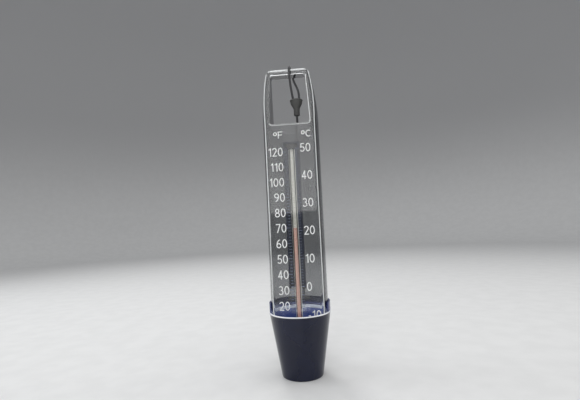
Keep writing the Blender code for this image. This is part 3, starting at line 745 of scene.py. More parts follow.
def applied(piece):
    """The piece's modifiers made part of its mesh."""
    bpy.context.view_layer.update()
    graph = bpy.context.evaluated_depsgraph_get()
    final = bpy.data.meshes.new_from_object(piece.evaluated_get(graph))
    piece.modifiers.clear()
    piece.data = final


def window_liner(name, inside, outside, front, proud, edge):
    """A tube of the window's outline: its inner wall runs from the front to the shell's back and
    proud of it, rolls over on a half round, and its outer wall runs forward again."""
    inner, outer = window_edge(inside), window_edge(outside)
    wide, deep, centre = casing_section(inner[:, 1])
    back = centre + deep * np.sqrt(np.maximum(0.0, 1 - (inner[:, 0] / wide) ** 2))
    roll_y = back + proud - edge
    rows = []
    for t in (0.0, 0.2, 0.4, 0.6, 0.8, 0.95):
        rows.append(upright(inner, front + (roll_y - front) * t))
    half = (outer - inner) / 2
    for a in np.linspace(0, math.pi, 9):
        flat = inner + half * (1 - math.cos(a))
        rows.append(upright(flat, roll_y + edge * math.sin(a)))
    for t in (0.95, 0.6, 0.2, 0.0):
        rows.append(upright(outer, front + (roll_y - front) * t))
    return surface(name, np.stack(rows), True, True)


def cut_out(piece, cutter):
    """Takes the cutter's shape out of the piece, and removes the cutter."""
    change = piece.modifiers.new("window", "BOOLEAN")
    change.operation = "DIFFERENCE"
    change.object = cutter
    applied(piece)
    bpy.data.objects.remove(cutter, do_unlink=True)
    return piece


def window_prism(grow):
    """The window's outline as a block right through the casing."""
    edge = window_edge(grow)
    depths = (-2 * casing_radius, 2 * casing_radius)
    rows = [upright(edge, y) for y in depths]
    middle = np.array([0.0, 0.0, (window_low_z + window_high_z) / 2])
    ends = [np.repeat((middle + [0, y, 0])[None], len(edge), axis=0) for y in depths]
    return surface("window_prism", np.stack([ends[0], rows[0], rows[1], ends[1]]), round_v=True)


shell = shell_skin()
walls = shell.modifiers.new("wall", "SOLIDIFY")
walls.thickness = shell_wall
walls.offset = -1.0
walls.use_even_offset = True
applied(shell)
shell = shade(cut_out(shell, window_prism(liner_wall / 2)), 34)
liner = shade(window_liner("window_liner", 0.0, liner_wall, shell_front_y, 0.0003, 0.0007), 40)
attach(shell, "casing")
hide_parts("rear_shell")
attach(liner, "casing")


def smoked_finish():
    """Grey see-through plastic: each wall lets about a quarter of the light pass. The smoke stops at
    the cup's rim, and the foot inside the cup is clear."""
    made, tree, shader = new_finish("smoked_shell_plastic")
    grain = placed(tree, grain_group, Size=220.0)
    lines = placed(tree, hairline_group, Share=0.8)
    smoke = band_of(tree, place_parts(tree)["Z"], cup_height + 0.0022, cup_height + 0.0042)
    shader.inputs["Transmission Weight"].default_value = 1.0
    shader.inputs["IOR"].default_value = 1.50
    colour = blended(tree, grain.outputs["Tone"], (0.215, 0.218, 0.230), (0.255, 0.258, 0.270))
    colour = blended(tree, smoke, (0.92, 0.94, 0.97), colour)
    rough = ranged(tree, lines.outputs["Mask"], 0.04, 0.22)
    feed(tree, shader, colour, rough, raised(tree, grain.outputs["Height"], 0.0001, 0.4))
    lets_lamps_through(tree, shader, blended(tree, smoke, (0.92, 0.94, 0.97), (0.40, 0.41, 0.43)))
    return made


coat_with(smoked_finish(), shell, liner)

# ----------------------------------------------------------------------------- printed scale
# White figures screen printed on the face, Fahrenheit left of the tube and Celsius right of it,
# and fine pale graduations printed on the plate's back, in front of the dark trough.

stem_low, stem_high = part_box("glass_stem")
tube_y = (stem_low.y + stem_high.y) / 2
zero_z, per_degree = 0.0728, 0.00223
figure_height = 0.0071
ink_thickness = 0.00008
pen, narrowed = 0.00078, 0.93


def celsius_z(degrees):
    return zero_z + per_degree * degrees


def fahrenheit_z(degrees):
    return celsius_z((degrees - 32) / 1.8)


def bow(x, z, half_wide, half_high, begin, end, steps=22):
    """Points along an ellipse's arc; angles in degrees from the right, anticlockwise."""
    a = np.radians(np.linspace(begin, end, steps))
    return np.stack([x + half_wide * np.cos(a), z + half_high * np.sin(a)], axis=1)


def ring_stroke(x, z, half_wide, half_high):
    """A closed stroke round an ellipse."""
    return bow(x, z, half_wide, half_high, 0, 360, 37)[:-1], True


def line_stroke(*points):
    """An open stroke through points and arcs."""
    return np.concatenate([np.atleast_2d(np.array(part, float)) for part in points]), False


six = [ring_stroke(0.30, 0.29, 0.235, 0.231), line_stroke(bow(0.50, 0.30, 0.435, 0.640, 94, 178))]
drawn_figures = {
    "0": (0.60, [ring_stroke(0.30, 0.50, 0.241, 0.441)]),
    "1": (0.38, [line_stroke((0.29, 0.0), (0.29, 1.0)), line_stroke((0.05, 0.755), (0.28, 0.915))]),
    "2": (0.58, [
        line_stroke(bow(0.28, 0.705, 0.225, 0.236, 168, -28), (0.075, 0.045)),
        line_stroke((0.02, 0.059), (0.56, 0.059)),
    ]),
    "3": (0.57, [
        line_stroke(bow(0.26, 0.720, 0.195, 0.221, 152, -90)),
        line_stroke(bow(0.26, 0.288, 0.240, 0.230, 90, -152)),
    ]),
    "4": (0.62, [
        line_stroke((0.43, 0.0), (0.43, 1.0)),
        line_stroke((0.42, 0.93), (0.115, 0.285), (0.61, 0.285)),
    ]),
    "5": (0.57, [
        line_stroke((0.10, 0.941), (0.52, 0.941)),
        line_stroke((0.155, 0.96), (0.105, 0.53), bow(0.27, 0.315, 0.241, 0.256, 118, -148)),
    ]),
    "6": (0.60, six),
    "7": (0.58, [line_stroke((0.03, 0.941), (0.56, 0.941)), line_stroke((0.53, 0.93), (0.19, 0.0))]),
    "8": (0.60, [ring_stroke(0.30, 0.724, 0.195, 0.217), ring_stroke(0.30, 0.275, 0.241, 0.216)]),
    "9": (0.60, [(np.array([0.60, 1.0]) - points, shut) for points, shut in six]),
    "-": (0.36, [line_stroke((0.02, 0.42), (0.32, 0.42))]),
    "F": (0.78, [
        line_stroke((0.10, 0.0), (0.10, 1.0)),
        line_stroke((0.10, 0.935), (0.76, 0.935)),
        line_stroke((0.10, 0.50), (0.68, 0.50)),
    ]),
    "C": (0.84, [line_stroke(bow(0.46, 0.50, 0.39, 0.435, 48, 312, 40))]),
    "°": (0.58, [ring_stroke(0.29, 0.66, 0.235, 0.222)]),
}


def pen_stroke(points, shut, height, layer):
    """One stroke of ink: a bar of the pen's width that follows the points, mitred where they turn.
    Each layer lies a hair over the one before, where strokes cross."""
    points = points * [narrowed * height, height]
    ahead_of = np.roll(points, -1, axis=0) - points
    behind = points - np.roll(points, 1, axis=0)
    if not shut:
        ahead_of[-1], behind[0] = behind[-1], ahead_of[0]
    ahead_of /= np.linalg.norm(ahead_of, axis=1)[:, None]
    behind /= np.linalg.norm(behind, axis=1)[:, None]
    square = np.stack([-ahead_of[:, 1] - behind[:, 1], ahead_of[:, 0] + behind[:, 0]], axis=1)
    square /= np.linalg.norm(square, axis=1)[:, None]
    mitre = np.maximum(0.4, square[:, 1] * ahead_of[:, 0] - square[:, 0] * ahead_of[:, 1])
    side = square * (pen / 2 / mitre)[:, None]
    left, right = points + side, points - side
    front, back = face_y - ink_thickness - 0.00002 * layer, face_y + 0.00001
    corners = ((left, front), (right, front), (right, back), (left, back))
    rows = np.stack([upright(flat, y) for flat, y in corners], axis=1)
    if shut:
        return np.concatenate([rows, rows[:1]])
    ends = [np.repeat(rows[k].mean(axis=0)[None, None], 4, axis=1) for k in (0, -1)]
    return np.concatenate([ends[0], rows, ends[1]])


def figures(name, entries, right_edge=None, left_edge=None, height=figure_height):
    """Printed figures: each (text, z) is drawn in pen strokes of even width, its middle at height z
    and its side against the given edge."""
    work = bmesh.new()
    for text, z in entries:
        wide = sum(drawn_figures[c][0] for c in text) + 0.115 * (len(text) - 1)
        x = left_edge if right_edge is None else right_edge - wide * narrowed * height
        for character in text:
            advance, strokes = drawn_figures[character]
            for layer, (points, shut) in enumerate(strokes):
                grid = pen_stroke(points, shut, height, layer) + [x, 0.0, z - height / 2]
                corners = [[work.verts.new(p) for p in row] for row in grid]
                for near, far in zip(corners, corners[1:]):
                    for k in range(4):
                        work.faces.new((near[k], near[(k + 1) % 4], far[(k + 1) % 4], far[k]))
            x += (advance + 0.115) * narrowed * height
    bmesh.ops.remove_doubles(work, verts=work.verts, dist=1e-8)
    return piece_from(name, bpy.data.meshes.new(name), work)


fahrenheit = figures(
    "fahrenheit_figures", [(str(d), fahrenheit_z(d)) for d in range(20, 121, 10)], right_edge=-0.0066
)
celsius = figures("celsius_figures", [(str(d), celsius_z(d)) for d in range(-10, 51, 10)], left_edge=0.0076)
letter_z = 0.1957
left_letter = figures("fahrenheit_letter", [("°F", letter_z)], right_edge=-0.0060, height=0.0057)
right_letter = figures("celsius_letter", [("°C", letter_z)], left_edge=0.0090, height=0.0057)


def graduations(name, heights, long_marks, inner_x, short, long, thickness):
    """Thin bars of ink, one for each height: a stadium outline of 16 points given a thickness.
    They start at inner_x and run outwards, further where long_marks is true."""
    a = np.linspace(-math.pi / 2, math.pi / 2, 8)
    end = np.stack([np.cos(a), np.sin(a)], axis=1) * thickness / 2
    side = 1 if inner_x > 0 else -1
    rows = []
    faces = []
    for k, (z, longer) in enumerate(zip(heights, long_marks)):
        reach = (long if longer else short) - thickness
        outline = np.concatenate([end + [reach, 0], -end]) * [side, 1] + [inner_x + side * thickness / 2, z]
        outline = outline[::side]
        for y in (plate_back_y + 0.00002, plate_back_y + 0.00010):
            rows.append(upright(outline, y))
        first = 32 * k
        faces.append([first + j for j in range(16)])
        faces.append([first + 16 + j for j in reversed(range(16))])
        for j in range(16):
            after = (j + 1) % 16
            faces.append([first + j, first + 16 + j, first + 16 + after, first + after])
    mesh = bpy.data.meshes.new(name)
    mesh.from_pydata(np.concatenate(rows), [], faces)
    work = bmesh.new()
    work.from_mesh(mesh)
    return piece_from(name, mesh, work)


celsius_degrees = np.arange(-10, 51)
fahrenheit_degrees = np.arange(16, 123, 2)
mark_start, mark_length, long_mark_length, mark_thickness = 0.0031, 0.0021, 0.0032, 0.00042
right_marks = graduations(
    "celsius_graduations", celsius_z(celsius_degrees), celsius_degrees % 10 == 0,
    mark_start, mark_length, long_mark_length, mark_thickness,
)
left_marks = graduations(
    "fahrenheit_graduations", fahrenheit_z(fahrenheit_degrees), fahrenheit_degrees % 10 == 0,
    -mark_start, mark_length, long_mark_length, mark_thickness,
)
for printed in (fahrenheit, celsius, left_letter, right_letter, right_marks, left_marks):
    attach(printed, "casing")


def ink_finish(name, light, shade_tone, worn):
    """Screen printing ink: slightly uneven in tone, worn thin in small spots."""
    made, tree, shader = new_finish(name)
    grain = placed(tree, grain_group, Size=3200.0)
    lines = placed(tree, hairline_group, Share=0.9)
    colour = blended(tree, grain.outputs["Tone"], shade_tone, light)
    colour = blended(tree, lines.outputs["Mask"], colour, worn)
    rough = ranged(tree, grain.outputs["Height"], 0.35, 0.60)
    feed(tree, shader, colour, rough, raised(tree, grain.outputs["Height"], 0.00002))
    return made


coat_with(
    ink_finish("white_figure_ink", (0.90, 0.91, 0.90), (0.84, 0.85, 0.84), (0.60, 0.61, 0.61)),
    fahrenheit, celsius, left_letter, right_letter,
)
coat_with(
    ink_finish("pale_graduation_ink", (0.16, 0.20, 0.32), (0.12, 0.15, 0.26), (0.08, 0.10, 0.17)),
    left_marks, right_marks,
)

# ------------------------------------------------------------------------------------ trough
# The dark navy trough that the tube stands in, moulded in polystyrene and cemented to the plate's
# back. It is open in front and at its foot, and its head closes in a quarter round.

trough_low, trough_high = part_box("scale_channel")
trough_wall = 0.0011


def trough():
    """A U section with round corners, carried up. Its inside grows shallow on a quarter round
    near the head, and at each end the outer path folds onto the inner one to close the wall."""
    corner, steps = 0.0022, 9
    half, back, front = trough_high.x, trough_high.y, trough_low.y
    a = np.linspace(0, math.pi / 2, steps)

    def u_path(half_x, back_y, radius):
        right = np.stack([half_x - radius + radius * np.cos(a), back_y - radius + radius * np.sin(a)], axis=1)
        left = right[::-1] * [-1, 1]
        return np.concatenate([[[half_x, front]], right, left, [[-half_x, front]]])

    head_round = 0.0045
    inner_top = trough_high.z - trough_wall
    over = inner_top - head_round * (1 - np.sin(np.linspace(0, math.pi / 2, 10)))
    straight = np.linspace(trough_low.z, inner_top - head_round, 40)[:-1]
    heights = np.concatenate([straight, over, [trough_high.z]])
    outer = u_path(half, back, corner)
    rows = []
    for z in heights:
        into = min(1.0, max(0.0, (z - (inner_top - head_round)) / head_round))
        depth = (back - trough_wall - front) * math.sqrt(max(0.0, 1 - into**2)) if z < inner_top else 0.0
        inner = u_path(half - trough_wall, back - trough_wall, corner - trough_wall)[::-1]
        inner[:, 1] = front + (inner[:, 1] - front) * depth / (back - trough_wall - front)
        rows.append(np.concatenate([outer, inner]))
    rows = [np.concatenate([r, np.full((len(r), 1), z)], axis=1) for r, z in zip(rows, heights)]
    count = len(outer)

    def folded(row):
        shut = row.copy()
        shut[:count] = row[count:][::-1]
        return shut

    rows = [folded(rows[0]), *rows, folded(rows[-1])]
    return shade(surface("tube_trough", np.stack(rows), round_v=True), 40)


channel = trough()
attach(channel, "casing")
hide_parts("scale_channel")


def moulded_finish(name, dark, light, rough, grain_size, depth, dust_share=0.4, gloss=0.5):
    """Opaque moulded plastic or rubber: two close tones, a fine grain, scuffs and a little dust."""
    made, tree, shader = new_finish(name)
    grain = placed(tree, grain_group, Size=grain_size)
    lines = placed(tree, hairline_group, Share=0.7)
    dust = placed(tree, dust_group, Share=dust_share)
    colour = blended(tree, grain.outputs["Tone"], dark, light)
    colour = blended(tree, dust.outputs["Mask"], colour, (0.30, 0.29, 0.27))
    clean = ranged(tree, grain.outputs["Tone"], rough, rough + 0.08)
    scuffed = maths(tree, "ADD", clean, ranged(tree, lines.outputs["Mask"], 0.0, 0.2), True)
    feed(tree, shader, colour, scuffed, raised(tree, grain.outputs["Height"], depth))
    shader.inputs["Specular IOR Level"].default_value = gloss
    return made


navy_dark, navy_light = (0.004, 0.006, 0.020), (0.007, 0.010, 0.030)
coat_with(moulded_finish("navy_moulding", navy_dark, navy_light, 0.60, 900.0, 0.00003, 0.2, 0.08), channel)
dark_moulding = moulded_finish(
    "black_moulding", (0.012, 0.012, 0.015), (0.022, 0.022, 0.026), 0.34, 1100.0, 0.00005
)
coat_with(dark_moulding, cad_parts["stem_saddle"])
coat_with(
    moulded_finish("blue_moulding", (0.060, 0.080, 0.210), (0.080, 0.105, 0.255), 0.34, 1100.0, 0.00005),
    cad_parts["end_cap"],
)

# -------------------------------------------------------------------------- tube and spirit
# A capillary tube of soda glass with a blown bulb at its foot and a white enamel stripe behind
# its bore. Red spirit fills the bulb and the bore, up to a curved meniscus.

bulb_low, bulb_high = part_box("glass_bulb")
meniscus_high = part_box("spirit_meniscus")[1]
column_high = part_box("spirit_column")[1]
bulb_fill_low, bulb_fill_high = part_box("bulb_spirit")
stem_radius = (stem_high.x - stem_low.x) / 2
bore_radius, thread_radius = 0.0016, 0.00155
bore_top_z, bore_corner = 0.1853, 0.0004


def arc(centre_r, centre_z, radius, begin, end, steps=8):
    """Profile points (r, z) along an arc; angles in degrees from the outward direction."""
    a = np.radians(np.linspace(begin, end, steps))
    return np.stack([centre_r + radius * np.cos(a), centre_z + radius * np.sin(a)], axis=1)


def turned(name, profile, centre=(0.0, 0.0), steps=96, sharp_angle=32, closed=False):
    """A turned body: the (r, z) profile goes once round the upright axis through centre. Where it
    meets the axis its points merge; a closed profile is a ring's section."""
    profile = np.concatenate([np.atleast_2d(np.array(part, float)) for part in profile])
    a = np.linspace(0, 2 * math.pi, steps, endpoint=False)
    r, z = profile[:, 0][None, :], profile[:, 1][None, :]
    points = np.stack([
        centre[0] + r * np.cos(a)[:, None],
        centre[1] + r * np.sin(a)[:, None],
        np.repeat(z, steps, axis=0),
    ], axis=-1)
    return shade(surface(name, points, True, closed), sharp_angle)


def up_the_line(r, low, high, steps):
    """Profile points up a straight line, as many as steps, evenly spaced."""
    return np.stack([np.full(steps, r), np.linspace(low, high, steps)], axis=1)


stem = turned("capillary_tube", [
    (0.0, stem_high.z),
    arc(0.0, stem_high.z - stem_radius, stem_radius, 84, 0, 12),
    (stem_radius, stem_low.z + 0.0004),
    arc(stem_radius - 0.0004, stem_low.z + 0.0004, 0.0004, 0, -90, 5),
    (bore_radius + 0.0002, stem_low.z),
    (bore_radius, stem_low.z + 0.0002),
    arc(bore_radius - bore_corner, bore_top_z - bore_corner, bore_corner, 0, 84, 6),
    (0.0, bore_top_z),
], (0.0, tube_y), 48)

bulb_radius = (bulb_high.x - bulb_low.x) / 2
bulb_wall = 0.0005
neck = stem_radius + 0.0003 + bulb_wall


def bulb_side(radius, neck_radius, low, high):
    """A long bulb's outline from its neck down: an S into the side, the side, the round bottom."""
    t = np.linspace(0, 1, 12)
    shoulder = np.stack([neck_radius + (radius - neck_radius) * easing(t), high - 0.0045 * t], axis=1)
    return np.concatenate([shoulder, arc(0.0, low + radius, radius, 0, -88, 14)])


outside = bulb_side(bulb_radius, neck, bulb_low.z, bulb_high.z - 0.0005)
inside = bulb_side(bulb_radius - bulb_wall, neck - bulb_wall, bulb_low.z + bulb_wall, bulb_high.z - 0.0005)
bulb = turned("blown_bulb", [
    (neck - bulb_wall / 2 + 0.0001, bulb_high.z),
    outside,
    (0.0, bulb_low.z),
    (0.0, bulb_low.z + bulb_wall),
    inside[::-1],
    (neck - bulb_wall, bulb_high.z - 0.0002),
    (neck - bulb_wall / 2 + 0.0001, bulb_high.z),
], (0.0, tube_y), 48)

fill_radius = (bulb_fill_high.x - bulb_fill_low.x) / 2
bulb_fill = turned("bulb_filling", [
    (0.0, bulb_fill_high.z),
    (fill_radius - 0.0008, bulb_fill_high.z),
    arc(fill_radius - 0.0008, bulb_fill_high.z - 0.0008, 0.0008, 80, 0, 6),
    arc(0.0, bulb_fill_low.z + fill_radius, fill_radius, 0, -88, 14),
    (0.0, bulb_fill_low.z),
], (0.0, tube_y), 48)

thread_foot = bulb_fill_low.z + 0.0040
thread = turned("spirit_thread", [
    (0.0, column_high.z),
    up_the_line(thread_radius, column_high.z, thread_foot, 90),
    (0.0, thread_foot),
], (0.0, tube_y), 28)
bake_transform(thread)
meniscus = turned("spirit_top", [
    (0.0, meniscus_high.z - 0.0005),
    arc(0.0, meniscus_high.z - 0.0005 + 0.0018, 0.0018, -88, -52, 8),
    (thread_radius, meniscus_high.z - 0.0001),
    up_the_line(thread_radius, meniscus_high.z - 0.0003, column_high.z, 6),
    (0.0, column_high.z),
], (0.0, tube_y), 28)


def enamel():
    """The stripe behind the bore: a thin arc of enamel, 60 degrees either side of the back,
    carried up the tube, its edges and ends folded shut."""
    strip_low, strip_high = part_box("enamel_strip")
    radius, thick = stem_radius + 0.0003, 0.0004
    a = np.radians(np.linspace(90 - 60, 90 + 60, 25))
    outer = np.stack([(radius + thick) * np.cos(a), (radius + thick) * np.sin(a)], axis=1)
    inner = np.stack([radius * np.cos(a), radius * np.sin(a)], axis=1)[::-1]
    section = np.concatenate([outer, inner]) + [0.0, tube_y]
    rows = [
        np.concatenate([section, np.full((50, 1), z)], axis=1)
        for z in np.linspace(strip_low.z, strip_high.z, 30)
    ]
    shut = []
    for row in (rows[0], rows[-1]):
        end = row.copy()
        end[:25] = row[25:][::-1]
        shut.append(end)
    return shade(surface("enamel_stripe", np.stack([shut[0], *rows, shut[1]]), round_v=True), 40)


stripe = enamel()
for piece, node, kind in (
    (stem, "glass_stem", "tube_glass"),
    (bulb, "glass_bulb", "tube_glass"),
    (bulb_fill, "bulb_spirit", "red_spirit"),
    (stripe, "enamel_strip", "white_enamel"),
):
    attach(piece, "casing")
    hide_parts(node)
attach(meniscus, "meniscus")
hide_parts("spirit_meniscus")
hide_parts("spirit_column")


def tube_glass_finish():
    """Drawn soda glass: colourless, with faint draw lines along it."""
    made, tree, shader = new_finish("drawn_glass")
    drawn = noise(tree, 1500.0, 2.0, (1, 1, 0.01))
    shader.inputs["Transmission Weight"].default_value = 1.0
    shader.inputs["IOR"].default_value = 1.47
    colour = blended(tree, drawn, (0.96, 0.96, 0.955), (0.98, 0.98, 0.975))
    feed(tree, shader, colour, ranged(tree, drawn, 0.01, 0.04), raised(tree, drawn, 0.00003, 0.4))
    lets_lamps_through(tree, shader, (0.96, 0.96, 0.955))
    return made


def spirit_finish():
    """Dyed spirit in front of white enamel: a soft salmon red, a little deeper in patches."""
    made, tree, shader = new_finish("dyed_spirit")
    drift = noise(tree, 320.0, 2.0, (1, 1, 0.15))
    colour = blended(tree, drift, (0.70, 0.38, 0.31), (0.78, 0.47, 0.40))
    feed(tree, shader, colour, ranged(tree, drift, 0.12, 0.22))
    shader.inputs["Subsurface Weight"].default_value = 0.2
    shader.inputs["Subsurface Radius"].default_value = (0.002, 0.0007, 0.0005)
    shader.inputs["Subsurface Scale"].default_value = 1.0
    return made


def enamel_finish():
    """Fired white enamel, warm as old milk glass, with a soft gloss."""
    made, tree, shader = new_finish("milk_enamel")
    grain = placed(tree, grain_group, Size=700.0)
    colour = blended(tree, grain.outputs["Tone"], (0.80, 0.78, 0.71), (0.86, 0.84, 0.78))
    rough = ranged(tree, grain.outputs["Height"], 0.18, 0.35)
    feed(tree, shader, colour, rough, raised(tree, grain.outputs["Height"], 0.00002))
    return made


coat_with(tube_glass_finish(), stem, bulb)
coat_with(spirit_finish(), thread, meniscus, bulb_fill)
coat_with(enamel_finish(), stripe)

# ----------------------------------------------------------------------- bush and grommet
# Two soft rubber rings hold the tube: a cap over its closed end in the trough's head, and a
# grommet with a waist in the end cap's hole.

bush_low, bush_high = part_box("upper_bush")
bush_radius = bush_high.x
bush = turned("tube_bush", [
    (0.0, bush_high.z),
    (bush_radius - 0.0008, bush_high.z),
    arc(bush_radius - 0.0007, bush_high.z - 0.0007, 0.0007, 85, 0, 6),
    (bush_radius, bush_low.z + 0.0005),
    arc(bush_radius - 0.0004, bush_low.z + 0.0004, 0.0004, -5, -90, 5),
    (stem_radius + 0.0002, bush_low.z),
    (stem_radius + 0.0002, stem_high.z + 0.0002),
    (0.0, stem_high.z + 0.0002),
], (0.0, tube_y), 40)
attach(bush, "casing")
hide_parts("upper_bush")
rubber = moulded_finish(
    "soft_black_rubber", (0.013, 0.013, 0.014), (0.026, 0.026, 0.027), 0.55, 1500.0, 0.00005, 0.7
)
coat_with(rubber, bush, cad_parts["lower_grommet"], tie)

# --------------------------------------------------------------------------------------- cup
# The scoop cup, injection moulded in deep blue and polished to a mirror outside. Its lip is rolled, with a
# pale painted highlight along it. A collar of see-through blue rises from its rim behind the flat face.

floor_z = 0.0068
recess_radius = 0.0146


def cup_inner(z):
    return cup_base_radius - cup_wall + (cup_mouth_radius - cup_base_radius) * z / cup_height


lip = 0.0008
cup_slope = math.degrees(math.atan((cup_mouth_radius - cup_base_radius) / cup_height))
cup = turned("scoop_cup", [
    (0.0, floor_z),
    (cup_inner(floor_z) - 0.003, floor_z),
    arc(cup_inner(floor_z + 0.002) - 0.0022, floor_z + 0.0022, 0.0022, -90, -cup_slope, 9),
    [(cup_inner(z), z) for z in np.linspace(0.012, cup_height - 0.0012, 12)],
    arc(cup_mouth_radius - lip, cup_height - lip, lip, 180 - cup_slope, -cup_slope, 14),
    [(cup_mouth_radius - (cup_mouth_radius - cup_base_radius) * (cup_height - z) / cup_height, z)
     for z in np.linspace(cup_height - 0.0014, 0.0016, 24)],
    arc(cup_base_radius - 0.0007, 0.0008, 0.0008, -5, -85, 7),
    (recess_radius + 0.0003, 0.0),
    (recess_radius, 0.0003),
    (recess_radius, 0.0052),
    (0.0, 0.0052),
], steps=256, sharp_angle=40)
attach(cup, "cup")
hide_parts("cup_shell")


def collar():
    """A C of rounded section: the section goes round from one front end to the other behind the
    casing, and shrinks to its middle over the last few degrees to round the ends off."""
    inner, outer = 0.02395, collar_high.x - 0.0001
    low, high = collar_low.z, collar_high.z
    section = np.concatenate([
        arc(outer - 0.00045, high - 0.00045, 0.00045, 90, 0, 5),
        arc(outer - 0.00045, low + 0.00045, 0.00045, 0, -90, 5),
        arc(inner + 0.00045, low + 0.00045, 0.00045, -90, -180, 5),
        arc(inner + 0.00045, high - 0.00045, 0.00045, 180, 90, 5),
    ])
    middle = np.array([(inner + outer) / 2, (low + high) / 2])
    begin = math.asin((collar_low.y + 0.0002) / outer)
    round_off = np.radians(2.0)
    closing = 1 - np.cos(np.linspace(0, math.pi / 2, 8))
    a = np.concatenate([
        begin + round_off * closing[:-1],
        np.linspace(begin + round_off, math.pi - begin - round_off, 140),
        math.pi - begin - round_off * closing[:-1][::-1],
    ])
    shrink = np.sin(np.linspace(0, math.pi / 2, 8))[:-1]
    grow = np.concatenate([shrink, np.ones(140), shrink[::-1]])
    ring = middle + (section - middle)[None] * grow[:, None, None]
    points = np.stack([
        ring[..., 0] * np.cos(a)[:, None], ring[..., 0] * np.sin(a)[:, None], ring[..., 1]
    ], axis=-1)
    return shade(surface("rim_collar", points, round_v=True), 40)


rim_collar = collar()
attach(rim_collar, "cup")
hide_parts("cup_collar")


def cup_finish():
    """Deep blue polished plastic: nearly black outside and, as painted light, a bright blue within; a pale
    painted highlight along the lip, and a faint upright ripple from the mould."""
    made, tree, shader = new_finish("polished_blue")
    grain = placed(tree, grain_group, Size=260.0)
    lines = placed(tree, hairline_group, Share=0.7)
    ripple = noise(tree, 150.0, 2.0, (1, 1, 0.06))
    parts = place_parts(tree)
    across_x = maths(tree, "POWER", parts["X"], 2.0)
    across_y = maths(tree, "POWER", parts["Y"], 2.0)
    reach = maths(tree, "SQRT", maths(tree, "ADD", across_x, across_y))
    flare = maths(tree, "MULTIPLY", parts["Z"], (cup_mouth_radius - cup_base_radius) / cup_height)
    outer_at = maths(tree, "ADD", flare, cup_base_radius - cup_wall / 2)
    inner_mask = band_of(tree, maths(tree, "SUBTRACT", outer_at, reach), -0.0002, 0.0002)
    # Painted highlight: a pale band round the lip, reaching 1.3 mm further down on the inside.
    lip_highlight_height = maths(tree, "ADD", maths(tree, "MULTIPLY", inner_mask, 0.0013), parts["Z"])
    lip_highlight_mask = band_of(tree, lip_highlight_height, cup_height - 0.0011, cup_height - 0.0004)
    colour = blended(tree, grain.outputs["Tone"], (0.004, 0.006, 0.022), (0.006, 0.009, 0.030))
    # Painted light: the bright blue inside stands in for light passing through the blue plastic, which stays
    # near black outside.
    colour = blended(tree, inner_mask, colour, (0.10, 0.145, 0.440))
    colour = blended(tree, lip_highlight_mask, colour, (0.94, 0.95, 0.97))
    lip_highlight_roughness = ranged(tree, lip_highlight_mask, 0.025, 0.25)
    rough = maths(tree, "ADD", lip_highlight_roughness, ranged(tree, lines.outputs["Mask"], 0.0, 0.2))
    feed(tree, shader, colour, rough, raised(tree, ripple, 0.0006, 0.35))
    shader.inputs["IOR"].default_value = 1.45
    return made


def collar_finish():
    """See-through blue with a soft gloss."""
    made, tree, shader = new_finish("clear_blue")
    grain = placed(tree, grain_group, Size=260.0)
    lines = placed(tree, hairline_group, Share=0.7)
    shader.inputs["Transmission Weight"].default_value = 0.55
    shader.inputs["IOR"].default_value = 1.50
    colour = blended(tree, grain.outputs["Tone"], (0.055, 0.075, 0.24), (0.075, 0.10, 0.30))
    rough = ranged(tree, lines.outputs["Mask"], 0.06, 0.30)
    feed(tree, shader, colour, rough, raised(tree, grain.outputs["Height"], 0.00008, 0.4))
    lets_lamps_through(tree, shader, (0.7, 0.74, 0.9))
    return made


coat_with(cup_finish(), cup)
coat_with(collar_finish(), rim_collar)

# -------------------------------------------------------------------------- ballast and base
# A zinc-plated steel disc under the cup's floor, and the black disc snapped in below it, which
# is faced off in fine rings and is what the thermometer stands on.

ballast_low, ballast_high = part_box("ballast_disc")
base_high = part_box("base_cap")[1]
disc_radius = base_high.x
ballast = turned("steel_ballast", [
    (0.0, ballast_high.z),
    (disc_radius - 0.0005, ballast_high.z),
    arc(disc_radius - 0.0004, ballast_high.z - 0.0004, 0.0004, 85, 0, 4),
    arc(disc_radius - 0.0004, ballast_low.z + 0.0004, 0.0004, 0, -85, 4),
    (0.0, ballast_low.z),
], steps=72)
rings = np.linspace(0.0030, disc_radius - 0.0016, 40)
base = turned("base_disc", [
    (0.0, base_high.z),
    (disc_radius, base_high.z),
    arc(disc_radius - 0.0004, 0.0004, 0.0004, 0, -85, 5),
    np.stack([rings[::-1], 0.00004 + 0.00004 * np.cos(np.arange(40) * math.pi)], axis=1),
    (0.0024, 0.0),
    (0.0018, 0.0005),
    (0.0, 0.0005),
], steps=96, sharp_angle=50)
for piece, node, kind in ((ballast, "ballast_disc", "ballast_steel"), (base, "base_cap", "dark_plastic")):
    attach(piece, "cup")
    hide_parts(node)


def steel_finish():
    """Zinc plate: grey metal with a cloudy spangle."""
    made, tree, shader = new_finish("zinc_plate")
    spangle = noise(tree, 520.0, 3.0)
    colour = blended(tree, spangle, (0.42, 0.43, 0.45), (0.60, 0.61, 0.63))
    feed(tree, shader, colour, ranged(tree, spangle, 0.28, 0.5), raised(tree, spangle, 0.00003))
    shader.inputs["Metallic"].default_value = 1.0
    return made


coat_with(steel_finish(), ballast)
coat_with(dark_moulding, base)

# ----------------------------------------------------------------------------- cord stopper
# A soft funnel of dark grey rubber that the loop's two ends go into from above and the lead leaves
# from below. A rolled rim and a few grip rings round its stem are moulded on.

